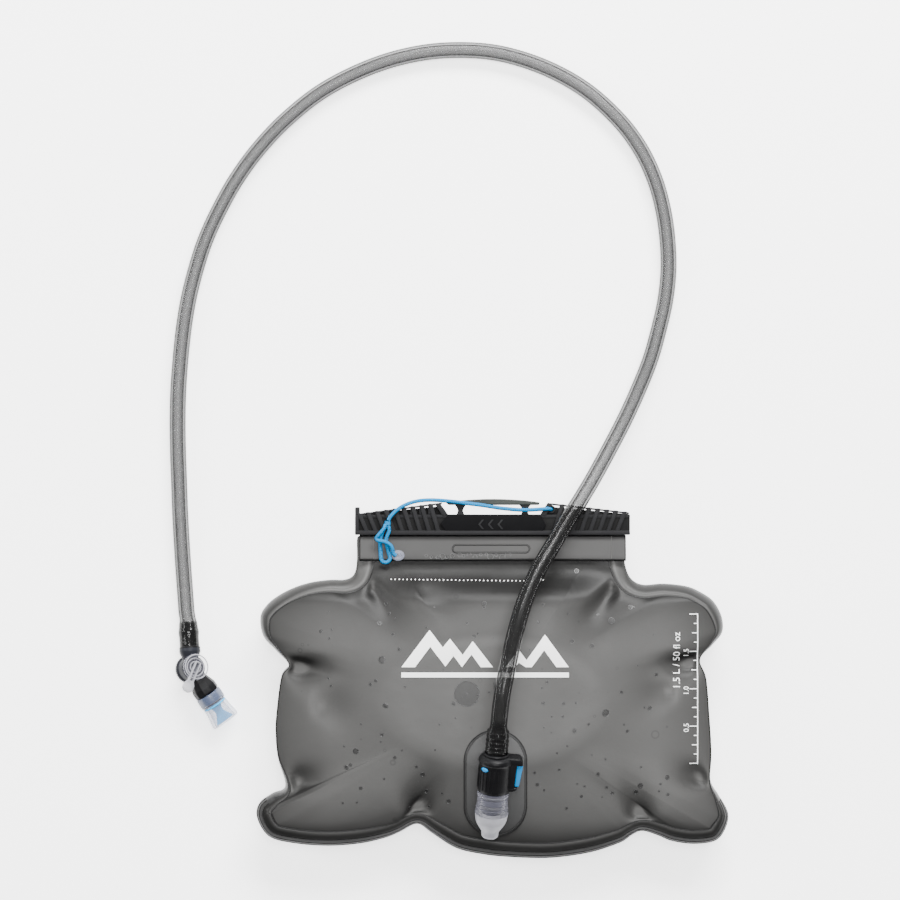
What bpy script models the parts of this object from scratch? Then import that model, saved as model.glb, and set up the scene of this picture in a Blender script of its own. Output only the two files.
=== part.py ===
"""Hydration bladder: a 1.5 litre film reservoir with a slide seal, a quick connector,
a drinking hose and a bite valve with a shut-off, lying on its back.

Units are metres (MM turns millimetres into metres), +Z is up, +Y points from the
foot of the bag to its slide seal. The bag's resting face is at z = 0.
"""
import math

import bmesh
import bpy
from mathutils import Matrix, Vector

MM = 0.001
GAP = 0.3 * MM                # clearance between pieces that touch

# ---- Film bag -------------------------------------------------------------------
FILM = 0.8 * MM               # film thickness
BODY_CENTRE = (0.0, -12.0)    # middle of the bag in plan, mm
CREASE_FRONT = 32.0           # height of the front weld above the table, mm
CREASE_BACK = 9.0             # height of the back weld, mm
FRONT_DOME = 12.0             # how far the water lifts the front film above its weld, mm
BODY_MIDDLE = 20.0            # height of the gusset's outermost line, mm
NECK_MIDDLE = 22.0            # height of the filling neck's middle plane, mm
NECK_START = 44.0             # y where the bag begins to narrow to the neck, mm
NECK_END = 67.0               # y where the neck is fully flat, mm
NECK_HALF = 3.6               # half height of the neck, outside, at NECK_END, mm
MOUTH_HALF = 1.2              # half height of the two films at the mouth, mm
MOUTH_Y = 85.6                # y of the film edge, mm

# The bag's outline seen from the front, in mm, from the mouth down the left side, round
# the foot and up the right side. Each stretch says how far its weld lies inside it.
OUTLINE = (
    ("neck_left", 10.0, ((-75.7, 85.6), (-76, 82.5), (-77.8, 80), (-77.8, 68), (-79.5, 60))),
    ("shoulder_left", 6.5, ((-84.5, 57), (-93.5, 56.8), (-104, 55.4), (-113.5, 52.5), (-122.5, 48),
                            (-129.5, 42.4), (-133.3, 35.3), (-131.6, 24.4))),
    ("waist_left", 0.6, ((-124, 16), (-117, 8.3), (-121, 2), (-123.7, -18), (-124.3, -30),
                         (-123.2, -45), (-119, -61.4))),
    ("foot_left", 9.5, ((-126.6, -65.8), (-134, -71.5), (-135.2, -80), (-128.2, -90.7),
                        (-113, -94.7), (-94, -96), (-76, -94.7), (-61.6, -91.4))),
    ("notch_left", 5.0, ((-53, -87.8), (-43.2, -83.2))),
    ("foot_middle", 10.0, ((-35, -88.5), (-21, -97.3), (-5, -101), (10, -102.5), (29.6, -103.1),
                           (44, -101.9), (59, -99.1), (73.8, -93.9))),
    ("notch_right", 6.0, ((80, -89.6), (85.8, -87.3))),
    ("foot_right", 9.0, ((94.5, -89.9), (103, -93.3), (115.6, -94.9), (128, -93), (133.7, -86),
                         (135.2, -77))),
    ("waist_right", 0.6, ((130, -67), (124.9, -57.6), (125.2, -42), (124, -20), (122.2, 1),
                          (118.9, 11.2), (126, 19.2))),
    ("shoulder_right", 6.5, ((131.8, 26.5), (131.6, 35.6), (126.8, 44.5), (119.2, 49.9),
                             (111, 53.2), (98, 54.6), (86.2, 54))),
    ("neck_right", 9.0, ((79.5, 57.5), (76.3, 64.5), (75.8, 70), (75.8, 80), (75.4, 82.5),
                         (75.2, 85.6))),
)
MOUTH_STEPS = (50, 25, 0, -25, -50)          # x of the film edge's points along the mouth, mm
INNER_OVAL = (105.0, 62.0)                   # half axes of the oval the rings turn into, mm
FRONT_RINGS = (0.0, 0.055, 0.107, 0.2, 0.36, 0.6)   # places from the weld (0) to the centre (1)
BACK_RINGS = (0.0, 0.055, 0.107, 0.2, 0.3)
FRONT_SWELL = 0.5             # ring place where the front reaches its full dome
BACK_SWELL = 0.3              # ring place where the back reaches the table
GUSSET_ROWS = (0.0, 0.22, 0.5, 0.78, 1.0)

BAND_X = 76.3                 # half width of the neck band, mm
BAND_Y = (68.2, 82.2)
BAND_THICK = 1.0 * MM
BAND_LIFT = 1.4               # height of the band's inner face above the neck's curve, mm

# ---- Slide seal -----------------------------------------------------------------
BAR_X = (-78.8, 78.6)
BAR_Y = (82.6, 94.2)
BAR_HALF = 7.0                # half thickness of the bar, mm
WING_HALF = 4.0               # half thickness of its wings and posts, mm
SLOT_HALF = 1.9               # half height of the slot that the films pass, mm
CHANNEL_Y = (85.3, 92.4)
CHANNEL_HALF = 5.0
FOLD_Y = (85.95, 91.8)
FOLD_HALF = 4.4
END_WALL = 2.4                # wall that closes the channel's left end
WING_HIGH = 100.9             # y of the wings' edge next to the grip
WING_LOW_LEFT = 94.8          # y of that edge at the bar's ends
WING_LOW_RIGHT = 95.4
WING_SLOT_X = (-60, -50, -40, 45, 55, 65)
TAB_TOP = 98.4                # y of the pull tab at the left end
POST_X = (-18.4, 18.6)        # middles of the posts, mm
POST_WIDE = 5.3
GRIP_X = (-26.8, 27.1)
GRIP_Y = (99.7, 103.1)
GRIP_HALF = 4.5
TETHER_HOLE = (33.5, 97.2)
TETHER_HOLE_RADIUS = 1.6
TETHER_RADIUS = 1.1 * MM

# ---- Port and connector, placed along one tilted axis ------------------------------
PORT_TILT = math.radians(17)      # the axis rises towards the hose
PORT_LEAN = math.radians(4.3)     # and leans towards +X
PORT_NOSE = Vector((-2.0, -87.7, 48.6)) * MM
FLANGE_CENTRE = (1.4, -58.4)
FLANGE_HALF = (17.8, 30.8)
PORT_FOOT_S = 14.0                # distance of the foot from the nose tip, mm
PORT_FOOT_DROP = 10.3             # distance of the foot's face below the axis, mm
PLUG_TIP_S = 14.2
COLLAR_S = (28.2, 50.0)
BARB_END_S = 66.0

# ---- Hose and bite valve -----------------------------------------------------------
HOSE_RADIUS = 4.75 * MM
# The hose's middle line from the connector to the bite valve, in mm.
HOSE_ROUTE = (
    (3.0, -21.0, 68.6), (4.8, -6, 70.4), (8.4, 12, 68.4), (12.7, 30, 63.2), (18.5, 48, 56),
    (26.5, 65, 48.5), (34.8, 78.5, 42), (42.8, 91.5, 36.3), (51.5, 105, 30.6),
    (58.5, 116.5, 25.8), (67.5, 132.5, 19.6), (76.3, 149, 14), (84.3, 166, 9.4),
    (91.4, 183.5, 6.3), (96.4, 201, 5.1), (100.2, 218, 4.9), (102, 235.5, 4.9),
    (101.4, 253, 4.9), (99, 270, 4.9), (94.2, 287.5, 4.9), (86, 305, 4.9), (73.4, 322, 4.9),
    (54, 339.5, 4.9), (30.5, 352.5, 4.9), (4.5, 360.6, 4.9), (-20.5, 362.6, 4.9),
    (-45, 360.2, 4.9), (-70.5, 352.8, 4.9), (-97.3, 339.5, 4.9), (-119, 322.5, 4.9),
    (-135.5, 305, 4.9), (-148.2, 287.5, 4.9), (-158, 270, 4.9), (-165.8, 253, 4.9),
    (-171.5, 235.5, 4.9), (-175.8, 218, 4.9), (-178.6, 200.5, 4.9), (-180.4, 183, 4.9),
    (-181.6, 166, 4.9), (-182, 149, 4.9), (-181.8, 131, 4.9), (-181.2, 114, 4.9),
    (-180.6, 96.5, 4.9), (-179.7, 79, 4.9), (-178.6, 62, 4.95), (-177.3, 44.5, 5.3),
    (-176.5, 34.0, 6.1),
)
HOSE_POINTS = 64                  # points of the tube's spline
VALVE_CENTRE = Vector((-173.8, 5.1, 11.0)) * MM
VALVE_INLET = Vector((-0.076, 0.997, -0.178)).normalized()   # towards the hose
VALVE_OUTLET = Vector((0.547, -0.837, -0.096)).normalized()  # towards the mouth
VALVE_AXIS = VALVE_OUTLET.cross(VALVE_INLET).normalized()    # the shut-off turns on this

SEGMENTS = 18                     # sides of a turned piece


# ---- Scene helpers -----------------------------------------------------------------
def clear_scene():
    for item in list(bpy.data.objects):
        bpy.data.objects.remove(item, do_unlink=True)


def new_collection(name):
    collection = bpy.data.collections.new(name)
    bpy.context.scene.collection.children.link(collection)
    return collection


def material(name, colour, roughness, metallic=0.0, alpha=1.0):
    """A Principled material; colour is linear RGB."""
    made = bpy.data.materials.new(name)
    made.use_nodes = True
    shader = made.node_tree.nodes["Principled BSDF"]
    shader.inputs["Base Color"].default_value = (*colour, 1.0)
    shader.inputs["Roughness"].default_value = roughness
    shader.inputs["Metallic"].default_value = metallic
    shader.inputs["Alpha"].default_value = alpha
    return made


def add_mesh(name, mesh, look=None, place=None):
    """Link a mesh as an object of the model, or as a cutter when it has no look."""
    made = bpy.data.objects.new(name, mesh)
    (PARTS if look else CUTTERS).objects.link(made)
    if place is not None:
        made.matrix_world = place
    if look:
        mesh.materials.append(look)
    else:
        made.hide_render = True
        made.display_type = "WIRE"
    return made


def smooth(item, angle=40):
    item.data.shade_smooth()
    item.data.set_sharp_from_angle(angle=math.radians(angle))


def axis_frame(origin, axis, side):
    """A matrix whose Z runs along axis and whose X lies towards side."""
    up = axis.normalized()
    across = (side - up * side.dot(up)).normalized()
    turn = Matrix((across, up.cross(across), up)).transposed()
    return Matrix.Translation(origin) @ turn.to_4x4()


def boolean(item, cutter, operation="DIFFERENCE"):
    modifier = item.modifiers.new(operation.title(), "BOOLEAN")
    modifier.operation = operation
    modifier.object = cutter
    modifier.solver = "EXACT"


def bevel(item, width, segments=2, angle=40):
    modifier = item.modifiers.new("Bevel", "BEVEL")
    modifier.width = width
    modifier.segments = segments
    modifier.limit_method = "ANGLE"
    modifier.angle_limit = math.radians(angle)


def solidify(item, thickness, offset):
    modifier = item.modifiers.new("Solidify", "SOLIDIFY")
    modifier.thickness = thickness
    modifier.offset = offset


def turned(name, profile, look=None, place=None, closed=False, segments=SEGMENTS):
    """A turned shape. The profile is (radius, height) in mm, outer side from top to bottom;
    a closed profile comes back up its bore and joins its own start."""
    mesh = bpy.data.meshes.new(name)
    points = [(radius * MM, 0.0, height * MM) for radius, height in profile]
    edges = [(index, index + 1) for index in range(len(points) - 1)]
    if closed:
        edges.append((len(points) - 1, 0))
    mesh.from_pydata(points, edges, [])
    made = add_mesh(name, mesh, look, place)
    screw = made.modifiers.new("Turn", "SCREW")
    screw.steps = segments
    screw.render_steps = segments
    screw.use_merge_vertices = True
    screw.merge_threshold = 0.00001
    screw.use_smooth_shade = True
    return made


def box(name, low, high, look=None, place=None):
    """A box between two corners given in mm."""
    mesh = bpy.data.meshes.new(name)
    shape = bmesh.new()
    bmesh.ops.create_cube(shape, size=1.0)
    for vertex in shape.verts:
        for axis in range(3):
            middle = (low[axis] + high[axis]) / 2
            vertex.co[axis] = (middle + vertex.co[axis] * (high[axis] - low[axis])) * MM
    shape.to_mesh(mesh)
    shape.free()
    return add_mesh(name, mesh, look, place)


def rod(name, radius, low, high, look=None, place=None, segments=SEGMENTS):
    """A plain cylinder along Z from low to high, in mm."""
    return turned(name, ((0, high), (radius, high), (radius, low), (0, low)), look, place,
                  segments=segments)


def plate(name, outline, low, high, look=None):
    """A flat outline in mm, extruded from low to high, as a mesh that can be cut."""
    curve = bpy.data.curves.new(name + "_outline", "CURVE")
    curve.dimensions = "2D"
    curve.fill_mode = "BOTH"
    curve.extrude = (high - low) / 2 * MM
    spline = curve.splines.new("POLY")
    spline.points.add(len(outline) - 1)
    for point, (x, y) in zip(spline.points, outline):
        point.co = (x * MM, y * MM, 0.0, 1.0)
    spline.use_cyclic_u = True
    guide = bpy.data.objects.new(name + "_outline", curve)
    CUTTERS.objects.link(guide)
    guide.location.z = (low + high) / 2 * MM
    return meshed(guide, name, look)


def meshed(guide, name, look):
    """Turn a curve object into a mesh with its caps welded on."""
    bpy.context.view_layer.update()
    mesh = bpy.data.meshes.new_from_object(guide.evaluated_get(bpy.context.evaluated_depsgraph_get()))
    shape = bmesh.new()
    shape.from_mesh(mesh)
    bmesh.ops.remove_doubles(shape, verts=shape.verts, dist=0.00001)
    shape.to_mesh(mesh)
    shape.free()
    mesh.materials.clear()
    place = guide.matrix_world.copy()
    bpy.data.objects.remove(guide, do_unlink=True)
    mesh.name = name
    return add_mesh(name, mesh, look, place)


def tube(name, points, radius, look, closed=False):
    """A round cord or wire along points in metres."""
    curve = bpy.data.curves.new(name, "CURVE")
    curve.dimensions = "3D"
    curve.bevel_depth = radius
    curve.bevel_resolution = 2
    curve.use_fill_caps = not closed
    spline = curve.splines.new("POLY")
    spline.points.add(len(points) - 1)
    for point, place in zip(spline.points, points):
        point.co = (*place, 1.0)
    spline.use_cyclic_u = closed
    spline.use_smooth = True
    made = bpy.data.objects.new(name, curve)
    PARTS.objects.link(made)
    curve.materials.append(look)
    return made


def smooth_route(route, count, closed=False):
    """Evenly spaced points on a Catmull-Rom curve through the route's points, in metres."""
    knots = [Vector(point) * MM for point in route]
    last = len(knots) - 1
    dense = []
    spans = len(knots) if closed else last
    for index in range(spans):
        if closed:
            around = [knots[(index + step) % len(knots)] for step in (-1, 0, 1, 2)]
        else:
            around = [knots[min(max(index + step, 0), last)] for step in (-1, 0, 1, 2)]
        for step in range(12):
            dense.append(catmull_rom(around, step / 12))
    dense.append(knots[0] if closed else knots[-1])
    lengths = [0.0]
    for before, after in zip(dense, dense[1:]):
        lengths.append(lengths[-1] + (after - before).length)
    even = []
    at = 0
    steps = count if closed else count - 1
    for index in range(count):
        wanted = lengths[-1] * index / steps
        while at < len(lengths) - 2 and lengths[at + 1] < wanted:
            at += 1
        part = (wanted - lengths[at]) / max(lengths[at + 1] - lengths[at], 1e-9)
        even.append(dense[at].lerp(dense[at + 1], min(part, 1.0)))
    return even


def catmull_rom(points, t):
    before, start, end, after = points
    return 0.5 * ((2 * start) + (end - before) * t
                  + (2 * before - 5 * start + 4 * end - after) * t * t
                  + (3 * start - before - 3 * end + after) * t * t * t)


def ease(value):
    """Smooth step from 0 to 1."""
    value = min(max(value, 0.0), 1.0)
    return value * value * (3 - 2 * value)


def blend(start, end, part):
    return start + (end - start) * part


# ---- The film bag ------------------------------------------------------------------
def neck_share(y):
    """0 on the bag's body, 1 on the flat neck."""
    return ease((y - NECK_START) / (NECK_END - NECK_START))


def neck_half(y):
    """Half height of the neck's outside, narrowing to the mouth."""
    return blend(NECK_HALF, MOUTH_HALF, min(max((y - NECK_END) / (MOUTH_Y - NECK_END), 0), 1))


def weld_height(y, front):
    """Height of the weld line at y, front or back."""
    side = 1 if front else -1
    body = CREASE_FRONT if front else CREASE_BACK
    return blend(body, NECK_MIDDLE + side * neck_half(y), neck_share(y))


def outline_points():
    """The outline's points and the weld's distance inside each, without the mouth."""
    points = []
    insets = []
    for _, inset, stretch in OUTLINE:
        for point in stretch:
            points.append(Vector(point))
            insets.append(inset)
    for _ in range(2):
        around = [insets[0]] + insets + [insets[-1]]
        insets = [(around[i] + 2 * around[i + 1] + around[i + 2]) / 4 for i in range(len(insets))]
    return points, insets


def weld_points():
    """The weld line's points in plan, each inside its outline point."""
    points, insets = outline_points()
    last = len(points) - 1
    welds = []
    for index, point in enumerate(points):
        along = points[min(index + 1, last)] - points[max(index - 1, 0)]
        inward = Vector((-along.y, along.x)).normalized()
        welds.append(point + inward * insets[index])
    return welds


def panel_rings(fractions, front):
    """Rings of a panel from its weld towards its centre."""
    centre = Vector(BODY_CENTRE)
    edge = weld_points() + [Vector((x, MOUTH_Y)) for x in MOUTH_STEPS]
    rings = []
    for fraction in fractions:
        ring = []
        rounding = ease(fraction / 0.36)
        for point in edge:
            ray = point - centre
            turn = math.atan2(ray.y / INNER_OVAL[1], ray.x / INNER_OVAL[0])
            oval = Vector((INNER_OVAL[0] * math.cos(turn), INNER_OVAL[1] * math.sin(turn)))
            place = centre + ray.lerp(oval, rounding) * (1 - fraction)
            ring.append(Vector((place.x, place.y, panel_height(place.y, fraction, front))) * MM)
        rings.append(ring)
    tip = Vector((centre.x, centre.y, panel_height(centre.y, 1.0, front))) * MM
    return rings, tip


def panel_height(y, fraction, front):
    """Height of a panel's outer face: domed on the front, flat on the table at the back."""
    full = FRONT_SWELL if front else BACK_SWELL
    swell = math.sin(min(1.0, fraction / full) * math.pi / 2)
    if front:
        return weld_height(y, True) + FRONT_DOME * (1 - neck_share(y)) * swell
    return weld_height(y, False) * (1 - swell * (1 - neck_share(y)))


def film_panel(name, look, fractions, front):
    """A panel's outer face; without a look it stays an open guide surface."""
    rings, tip = panel_rings(fractions, front)
    shape = bmesh.new()
    rows = [[shape.verts.new(point) for point in ring] for ring in rings]
    middle = shape.verts.new(tip)
    count = len(rows[0])
    for outer, inner in zip(rows, rows[1:]):
        for index in range(count):
            after = (index + 1) % count
            shape.faces.new((outer[index], outer[after], inner[after], inner[index]))
    for index in range(count):
        shape.faces.new((rows[-1][index], rows[-1][(index + 1) % count], middle))
    if not front:
        bmesh.ops.reverse_faces(shape, faces=shape.faces)
    mesh = bpy.data.meshes.new(name)
    shape.to_mesh(mesh)
    shape.free()
    made = add_mesh(name, mesh, look)
    if look:
        solidify(made, FILM, -1)
    smooth(made, 60)
    return made


def gusset(look):
    """The side strip: from under the front weld out to the outline and back in."""
    points, _ = outline_points()
    welds = weld_points()
    drop = (FILM + 2 * GAP) / MM
    aside = (FILM / 2 + GAP) / MM
    shape = bmesh.new()
    rows = []
    for share in GUSSET_ROWS:
        row = []
        for point, weld in zip(points, welds):
            out = math.sin(math.pi * share) ** 0.7 if 0 < share < 1 else 0.0
            edge = weld + (point - weld).normalized() * aside
            place = edge.lerp(point, out)
            middle = blend(BODY_MIDDLE, NECK_MIDDLE, neck_share(point.y))
            top = weld_height(point.y, True) - drop * (1 - neck_share(point.y))
            bottom = weld_height(point.y, False) + drop * (1 - neck_share(point.y))
            if share < 0.5:
                height = blend(top, middle, share * 2)
            else:
                height = blend(middle, bottom, share * 2 - 1)
            row.append(shape.verts.new(Vector((place.x, place.y, height)) * MM))
        rows.append(row)
    for upper, lower in zip(rows, rows[1:]):
        for index in range(len(upper) - 1):
            shape.faces.new((upper[index], lower[index], lower[index + 1], upper[index + 1]))
    mesh = bpy.data.meshes.new("gusset")
    shape.to_mesh(mesh)
    shape.free()
    made = add_mesh("gusset", mesh, look)
    solidify(made, FILM, -1)
    smooth(made, 60)
    return made


def neck_band(name, look, front):
    """A stiffer film strip over the neck, following the film under it."""
    side = 1 if front else -1
    shape = bmesh.new()
    rows = []
    for y in (BAND_Y[0], (BAND_Y[0] + BAND_Y[1]) / 2, BAND_Y[1]):
        height = NECK_MIDDLE + side * (neck_half(y) + BAND_LIFT)
        rows.append([shape.verts.new(Vector((x, y, height)) * MM) for x in (-BAND_X, BAND_X)])
    for lower, upper in zip(rows, rows[1:]):
        face = (lower[0], lower[1], upper[1], upper[0])
        shape.faces.new(face if front else face[::-1])
    mesh = bpy.data.meshes.new(name)
    shape.to_mesh(mesh)
    shape.free()
    made = add_mesh(name, mesh, look)
    solidify(made, BAND_THICK, 1)
    return made


def mouth_fold(look):
    """The bag's mouth, folded over and beaded, as the bar's channel holds it."""
    low = (-75.8, FOLD_Y[0], NECK_MIDDLE - FOLD_HALF)
    high = (75.4, FOLD_Y[1], NECK_MIDDLE + FOLD_HALF)
    made = box("mouth_fold", low, high, look)
    bevel(made, 1.8 * MM, 3)
    smooth(made)
    return made


# ---- Slide seal --------------------------------------------------------------------
def slider_bar(look):
    """The bar: a thick channel, thin raised wings with slots, and two posts for the grip."""
    middle = NECK_MIDDLE
    left, right = BAR_X
    bar = box("slider_bar", (left, BAR_Y[0], middle - BAR_HALF), (right, BAR_Y[1], middle + BAR_HALF), look)
    top = BAR_Y[1]
    post_top = GRIP_Y[0] - GAP / MM
    wings = [(left, 84), (right, 84), (right, WING_LOW_RIGHT), (31.7, WING_HIGH), (27.4, top)]
    for x in reversed(POST_X):
        wings += [(x + POST_WIDE / 2, top), (x + POST_WIDE / 2, post_top), (x - POST_WIDE / 2, post_top),
                  (x - POST_WIDE / 2, top)]
    wings += [(-25.5, top), (-30.4, WING_HIGH), (-75.9, WING_LOW_LEFT), (-76.2, TAB_TOP), (left, TAB_TOP)]
    upper = plate("bar_wings", wings, middle - WING_HALF, middle + WING_HALF)
    boolean(bar, upper, "UNION")
    inside = left + END_WALL
    channel = box("bar_channel", (inside, CHANNEL_Y[0], middle - CHANNEL_HALF),
                  (right + 5, CHANNEL_Y[1], middle + CHANNEL_HALF))
    slot = box("bar_slot", (inside, BAR_Y[0] - 5, middle - SLOT_HALF),
               (right + 5, CHANNEL_Y[1] - 2, middle + SLOT_HALF))
    hole_place = Matrix.Translation(Vector((*TETHER_HOLE, middle)) * MM)
    hole = rod("bar_tether_hole", TETHER_HOLE_RADIUS, -10, 10, None, hole_place, 12)
    boolean(bar, channel)
    boolean(bar, slot)
    boolean(bar, hole)
    for number, x in enumerate(WING_SLOT_X):
        lean = 1.2 if x < 0 else -1.2
        high = wing_top(x) - 1.4
        outline = ((x - 2 - lean, 95.0), (x + 2 - lean, 95.0), (x + 2 + lean, high), (x - 2 + lean, high))
        boolean(bar, plate("wing_slot_%d" % number, outline, middle - 8, middle + 8))
    return bar


def wing_top(x):
    """Height in y of the wing's sloping edge at x."""
    if x < 0:
        return blend(WING_HIGH, WING_LOW_LEFT, (-30.4 - x) / 45.5)
    return blend(WING_HIGH, WING_LOW_RIGHT, (x - 31.7) / 46.9)


def slider_grip(look):
    """The grip on the posts: flat underneath, arched on top."""
    left, right = GRIP_X
    outline = [(left, GRIP_Y[0]), (right, GRIP_Y[0])]
    for step in range(9):
        share = step / 8
        rise = 1.4 + (GRIP_Y[1] - GRIP_Y[0] - 1.4) * math.sin(math.pi * share) ** 0.8
        outline.append((blend(right, left, share), GRIP_Y[0] + rise))
    made = plate("slider_grip", outline, NECK_MIDDLE - GRIP_HALF, NECK_MIDDLE + GRIP_HALF, look)
    smooth(made)
    return made


TETHER_ROUTE = (
    (33.5, 97.2, 21), (33.5, 97.2, 25.5), (31.6, 97.6, 28), (25.4, 97.2, 28.6), (16.2, 96.9, 28.6),
    (4.2, 98, 28.4), (-5.5, 99.5, 28.2), (-14.3, 100.6, 28.2), (-23.3, 101.8, 28.2),
    (-34.8, 102.6, 28.2), (-43.5, 101.9, 28.6), (-50.5, 99.6, 29.5), (-55, 96.6, 30.4),
    (-58.2, 93.4, 30.9), (-59.6, 91.0, 31),
)
LOOP_ROUTE = (
    (-60.2, 88.2, 31), (-62.6, 85.2, 31), (-64.2, 79.8, 30.2), (-64.1, 73.5, 29.2),
    (-63.5, 68.2, 28.9), (-60.8, 66.9, 28.9), (-58.6, 69.2, 28.9), (-59.6, 73.4, 29.2),
    (-60.9, 79.8, 30.2), (-59.2, 85.2, 31),
)


EYELET_CENTRE = (-54.2, 70.9)


def tether(look):
    """The cord from the bar's hole to its knot, and the loop hitched round the knot."""
    tube("tether_cord", smooth_route(TETHER_ROUTE, 38), TETHER_RADIUS, look)
    tube("tether_loop", smooth_route(LOOP_ROUTE, 26, closed=True), TETHER_RADIUS, look, closed=True)


def tether_eyelet(look):
    """A small moulded tab with a hole, welded on the neck band."""
    middle_x, middle_y = EYELET_CENTRE
    outline = []
    for step in range(16):
        turn = 2 * math.pi * step / 16
        outline.append((middle_x + 3.0 * math.cos(turn), middle_y + 2.3 * math.sin(turn)))
    low = NECK_MIDDLE + NECK_HALF + BAND_LIFT + (BAND_THICK + GAP) / MM
    made = plate("tether_eyelet", outline, low, low + 1.6, look)
    hole_place = Matrix.Translation(Vector((middle_x - 0.4, middle_y, 0)) * MM)
    hole = rod("eyelet_hole", 1.25, low - 2, low + 4, None, hole_place, 12)
    boolean(made, hole)
    return made


# ---- Port, connector and hose ------------------------------------------------------
def port_direction():
    flat = math.cos(PORT_TILT)
    return Vector((math.sin(PORT_LEAN) * flat, math.cos(PORT_LEAN) * flat, math.sin(PORT_TILT)))


def port_place(s=0.0):
    """The frame at s mm up the port's axis: Z along the axis, X across towards +X."""
    along = port_direction()
    return axis_frame(PORT_NOSE + along * s * MM, along, Vector((1, 0, 0)))


def port_foot_place():
    """The frame at the port's foot: Z square to the axis, pointing out of the bag."""
    along = port_direction()
    across = port_place().to_3x3() @ Vector((1, 0, 0))
    up = across.cross(along)
    if up.z < 0:
        up = -up
    return axis_frame(PORT_NOSE + along * PORT_FOOT_S * MM, up, across)


def port_flange(look):
    """An oval patch draped over the front film, with a round boss through it."""
    guide = film_panel("drape_guide", None, FRONT_RINGS, True)
    shape = bmesh.new()
    half_x, half_y = FLANGE_HALF
    straight = half_y - half_x
    rings = []
    for share in (1.0, 0.8, 0.6, 0.4, 0.2):
        ring = []
        for step in range(32):
            turn = 2 * math.pi * step / 32
            shift = straight if math.sin(turn) > 0 else -straight
            x = FLANGE_CENTRE[0] + half_x * math.cos(turn) * share
            y = FLANGE_CENTRE[1] + (half_x * math.sin(turn) + shift) * share
            ring.append(shape.verts.new((x * MM, y * MM, 0.08)))
        rings.append(ring)
    for outer, inner in zip(rings, rings[1:]):
        for index in range(32):
            after = (index + 1) % 32
            shape.faces.new((outer[index], outer[after], inner[after], inner[index]))
    shape.faces.new(rings[-1])
    bmesh.ops.triangulate(shape, faces=[face for face in shape.faces if len(face.verts) > 4])
    mesh = bpy.data.meshes.new("port_flange")
    shape.to_mesh(mesh)
    shape.free()
    made = add_mesh("port_flange", mesh, look)
    drape = made.modifiers.new("Drape", "SHRINKWRAP")
    drape.target = guide
    drape.wrap_method = "PROJECT"
    drape.use_project_z = True
    drape.use_negative_direction = True
    drape.use_positive_direction = False
    drape.offset = 0.95 * MM
    solidify(made, 1.0 * MM, 1)
    boss = rod("flange_boss", 8.0, -PORT_FOOT_DROP - 5.0, -PORT_FOOT_DROP - 0.3, None, port_foot_place())
    bore = rod("flange_bore", 4.0, -30, 0, None, port_foot_place())
    boolean(made, boss, "UNION")
    boolean(made, bore)
    return made


def port_body(look):
    """The clear housing: closed nose, valve chamber with a seat, and the plug's bore."""
    place = port_place()
    body = turned("port_body", (
        (8.9, 27.9), (9.1, 20.0), (9.7, 18.0), (9.6, 14.0), (8.6, 9.3), (6.2, 5.6), (5.1, 3.4), (4.9, 0.9),
        (4.0, 0), (0, 0), (0, 1.8), (3.2, 1.8), (3.2, 8.6), (5.6, 9.2), (5.6, 15.2), (4.3, 15.4),
        (4.3, 16.4), (8.5, 17.2), (8.5, 27.9)), look, place, closed=False)
    close_profile(body)
    foot = turned("port_foot", ((5.9, -8.6), (7.5, -PORT_FOOT_DROP), (3.4, -PORT_FOOT_DROP), (3.4, -8.6)),
                  None, port_foot_place(), closed=True)
    bore = rod("port_foot_bore", 3.4, -PORT_FOOT_DROP - 1, -2.0, None, port_foot_place())
    boolean(body, foot, "UNION")
    boolean(body, bore)
    return body


def close_profile(item):
    """Join the last point of a turned profile to its first, for a wall open at one end."""
    mesh = item.data
    mesh.edges.add(1)
    mesh.edges[-1].vertices = (len(mesh.vertices) - 1, 0)


def spring(name, look, place, radius, low, high, turns, wire):
    """A compression spring along the frame's Z, lengths in mm."""
    points = []
    steps = turns * 12
    for step in range(steps + 1):
        turn = 2 * math.pi * step / 12
        height = blend(low + wire, high - wire, step / steps)
        local = Vector((radius * math.cos(turn), radius * math.sin(turn), height)) * MM
        points.append(place @ local)
    return tube(name, points, wire * MM, look)


def port_poppet(look):
    """The check valve's disc and stem, held open by the plug's tip."""
    place = port_place()
    return turned("port_poppet", ((0, 13.9), (2.6, 13.9), (4.9, 13.2), (4.9, 12.2), (1.0, 11.6), (1.0, 4.4),
                                  (0, 4.4)), look, place)


def plug_body(look):
    """The hollow plug: tip, two seal grooves, collar seat, and the barb for the hose."""
    return turned("plug_body", (
        (2.9, BARB_END_S), (3.7, 62), (3.7, 61.4), (3.1, 61.4), (3.7, 57), (3.7, 56.4), (3.1, 56.4),
        (3.7, 52), (5.6, 51.6), (5.6, 34), (7.4, 33.6), (7.4, 31), (7.9, 30.6), (7.9, 27),
        (6.1, 27), (6.1, 24.2), (7.9, 24.2), (7.9, 21.2), (6.1, 21.2), (6.1, 18.4), (7.9, 18.4),
        (7.9, 17.9), (3.7, 16.6), (3.7, PLUG_TIP_S), (2.4, PLUG_TIP_S), (2.4, BARB_END_S)),
        look, port_place(), closed=True)


def o_ring(name, look, place, height, radius, thick, segments=SEGMENTS):
    """A seal ring round the frame's Z at a height, in mm."""
    profile = []
    for step in range(8):
        turn = math.pi / 2 - 2 * math.pi * step / 8
        profile.append((radius + thick * math.cos(turn), height + thick * math.sin(turn)))
    return turned(name, profile, look, place, closed=True, segments=segments)


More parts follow.
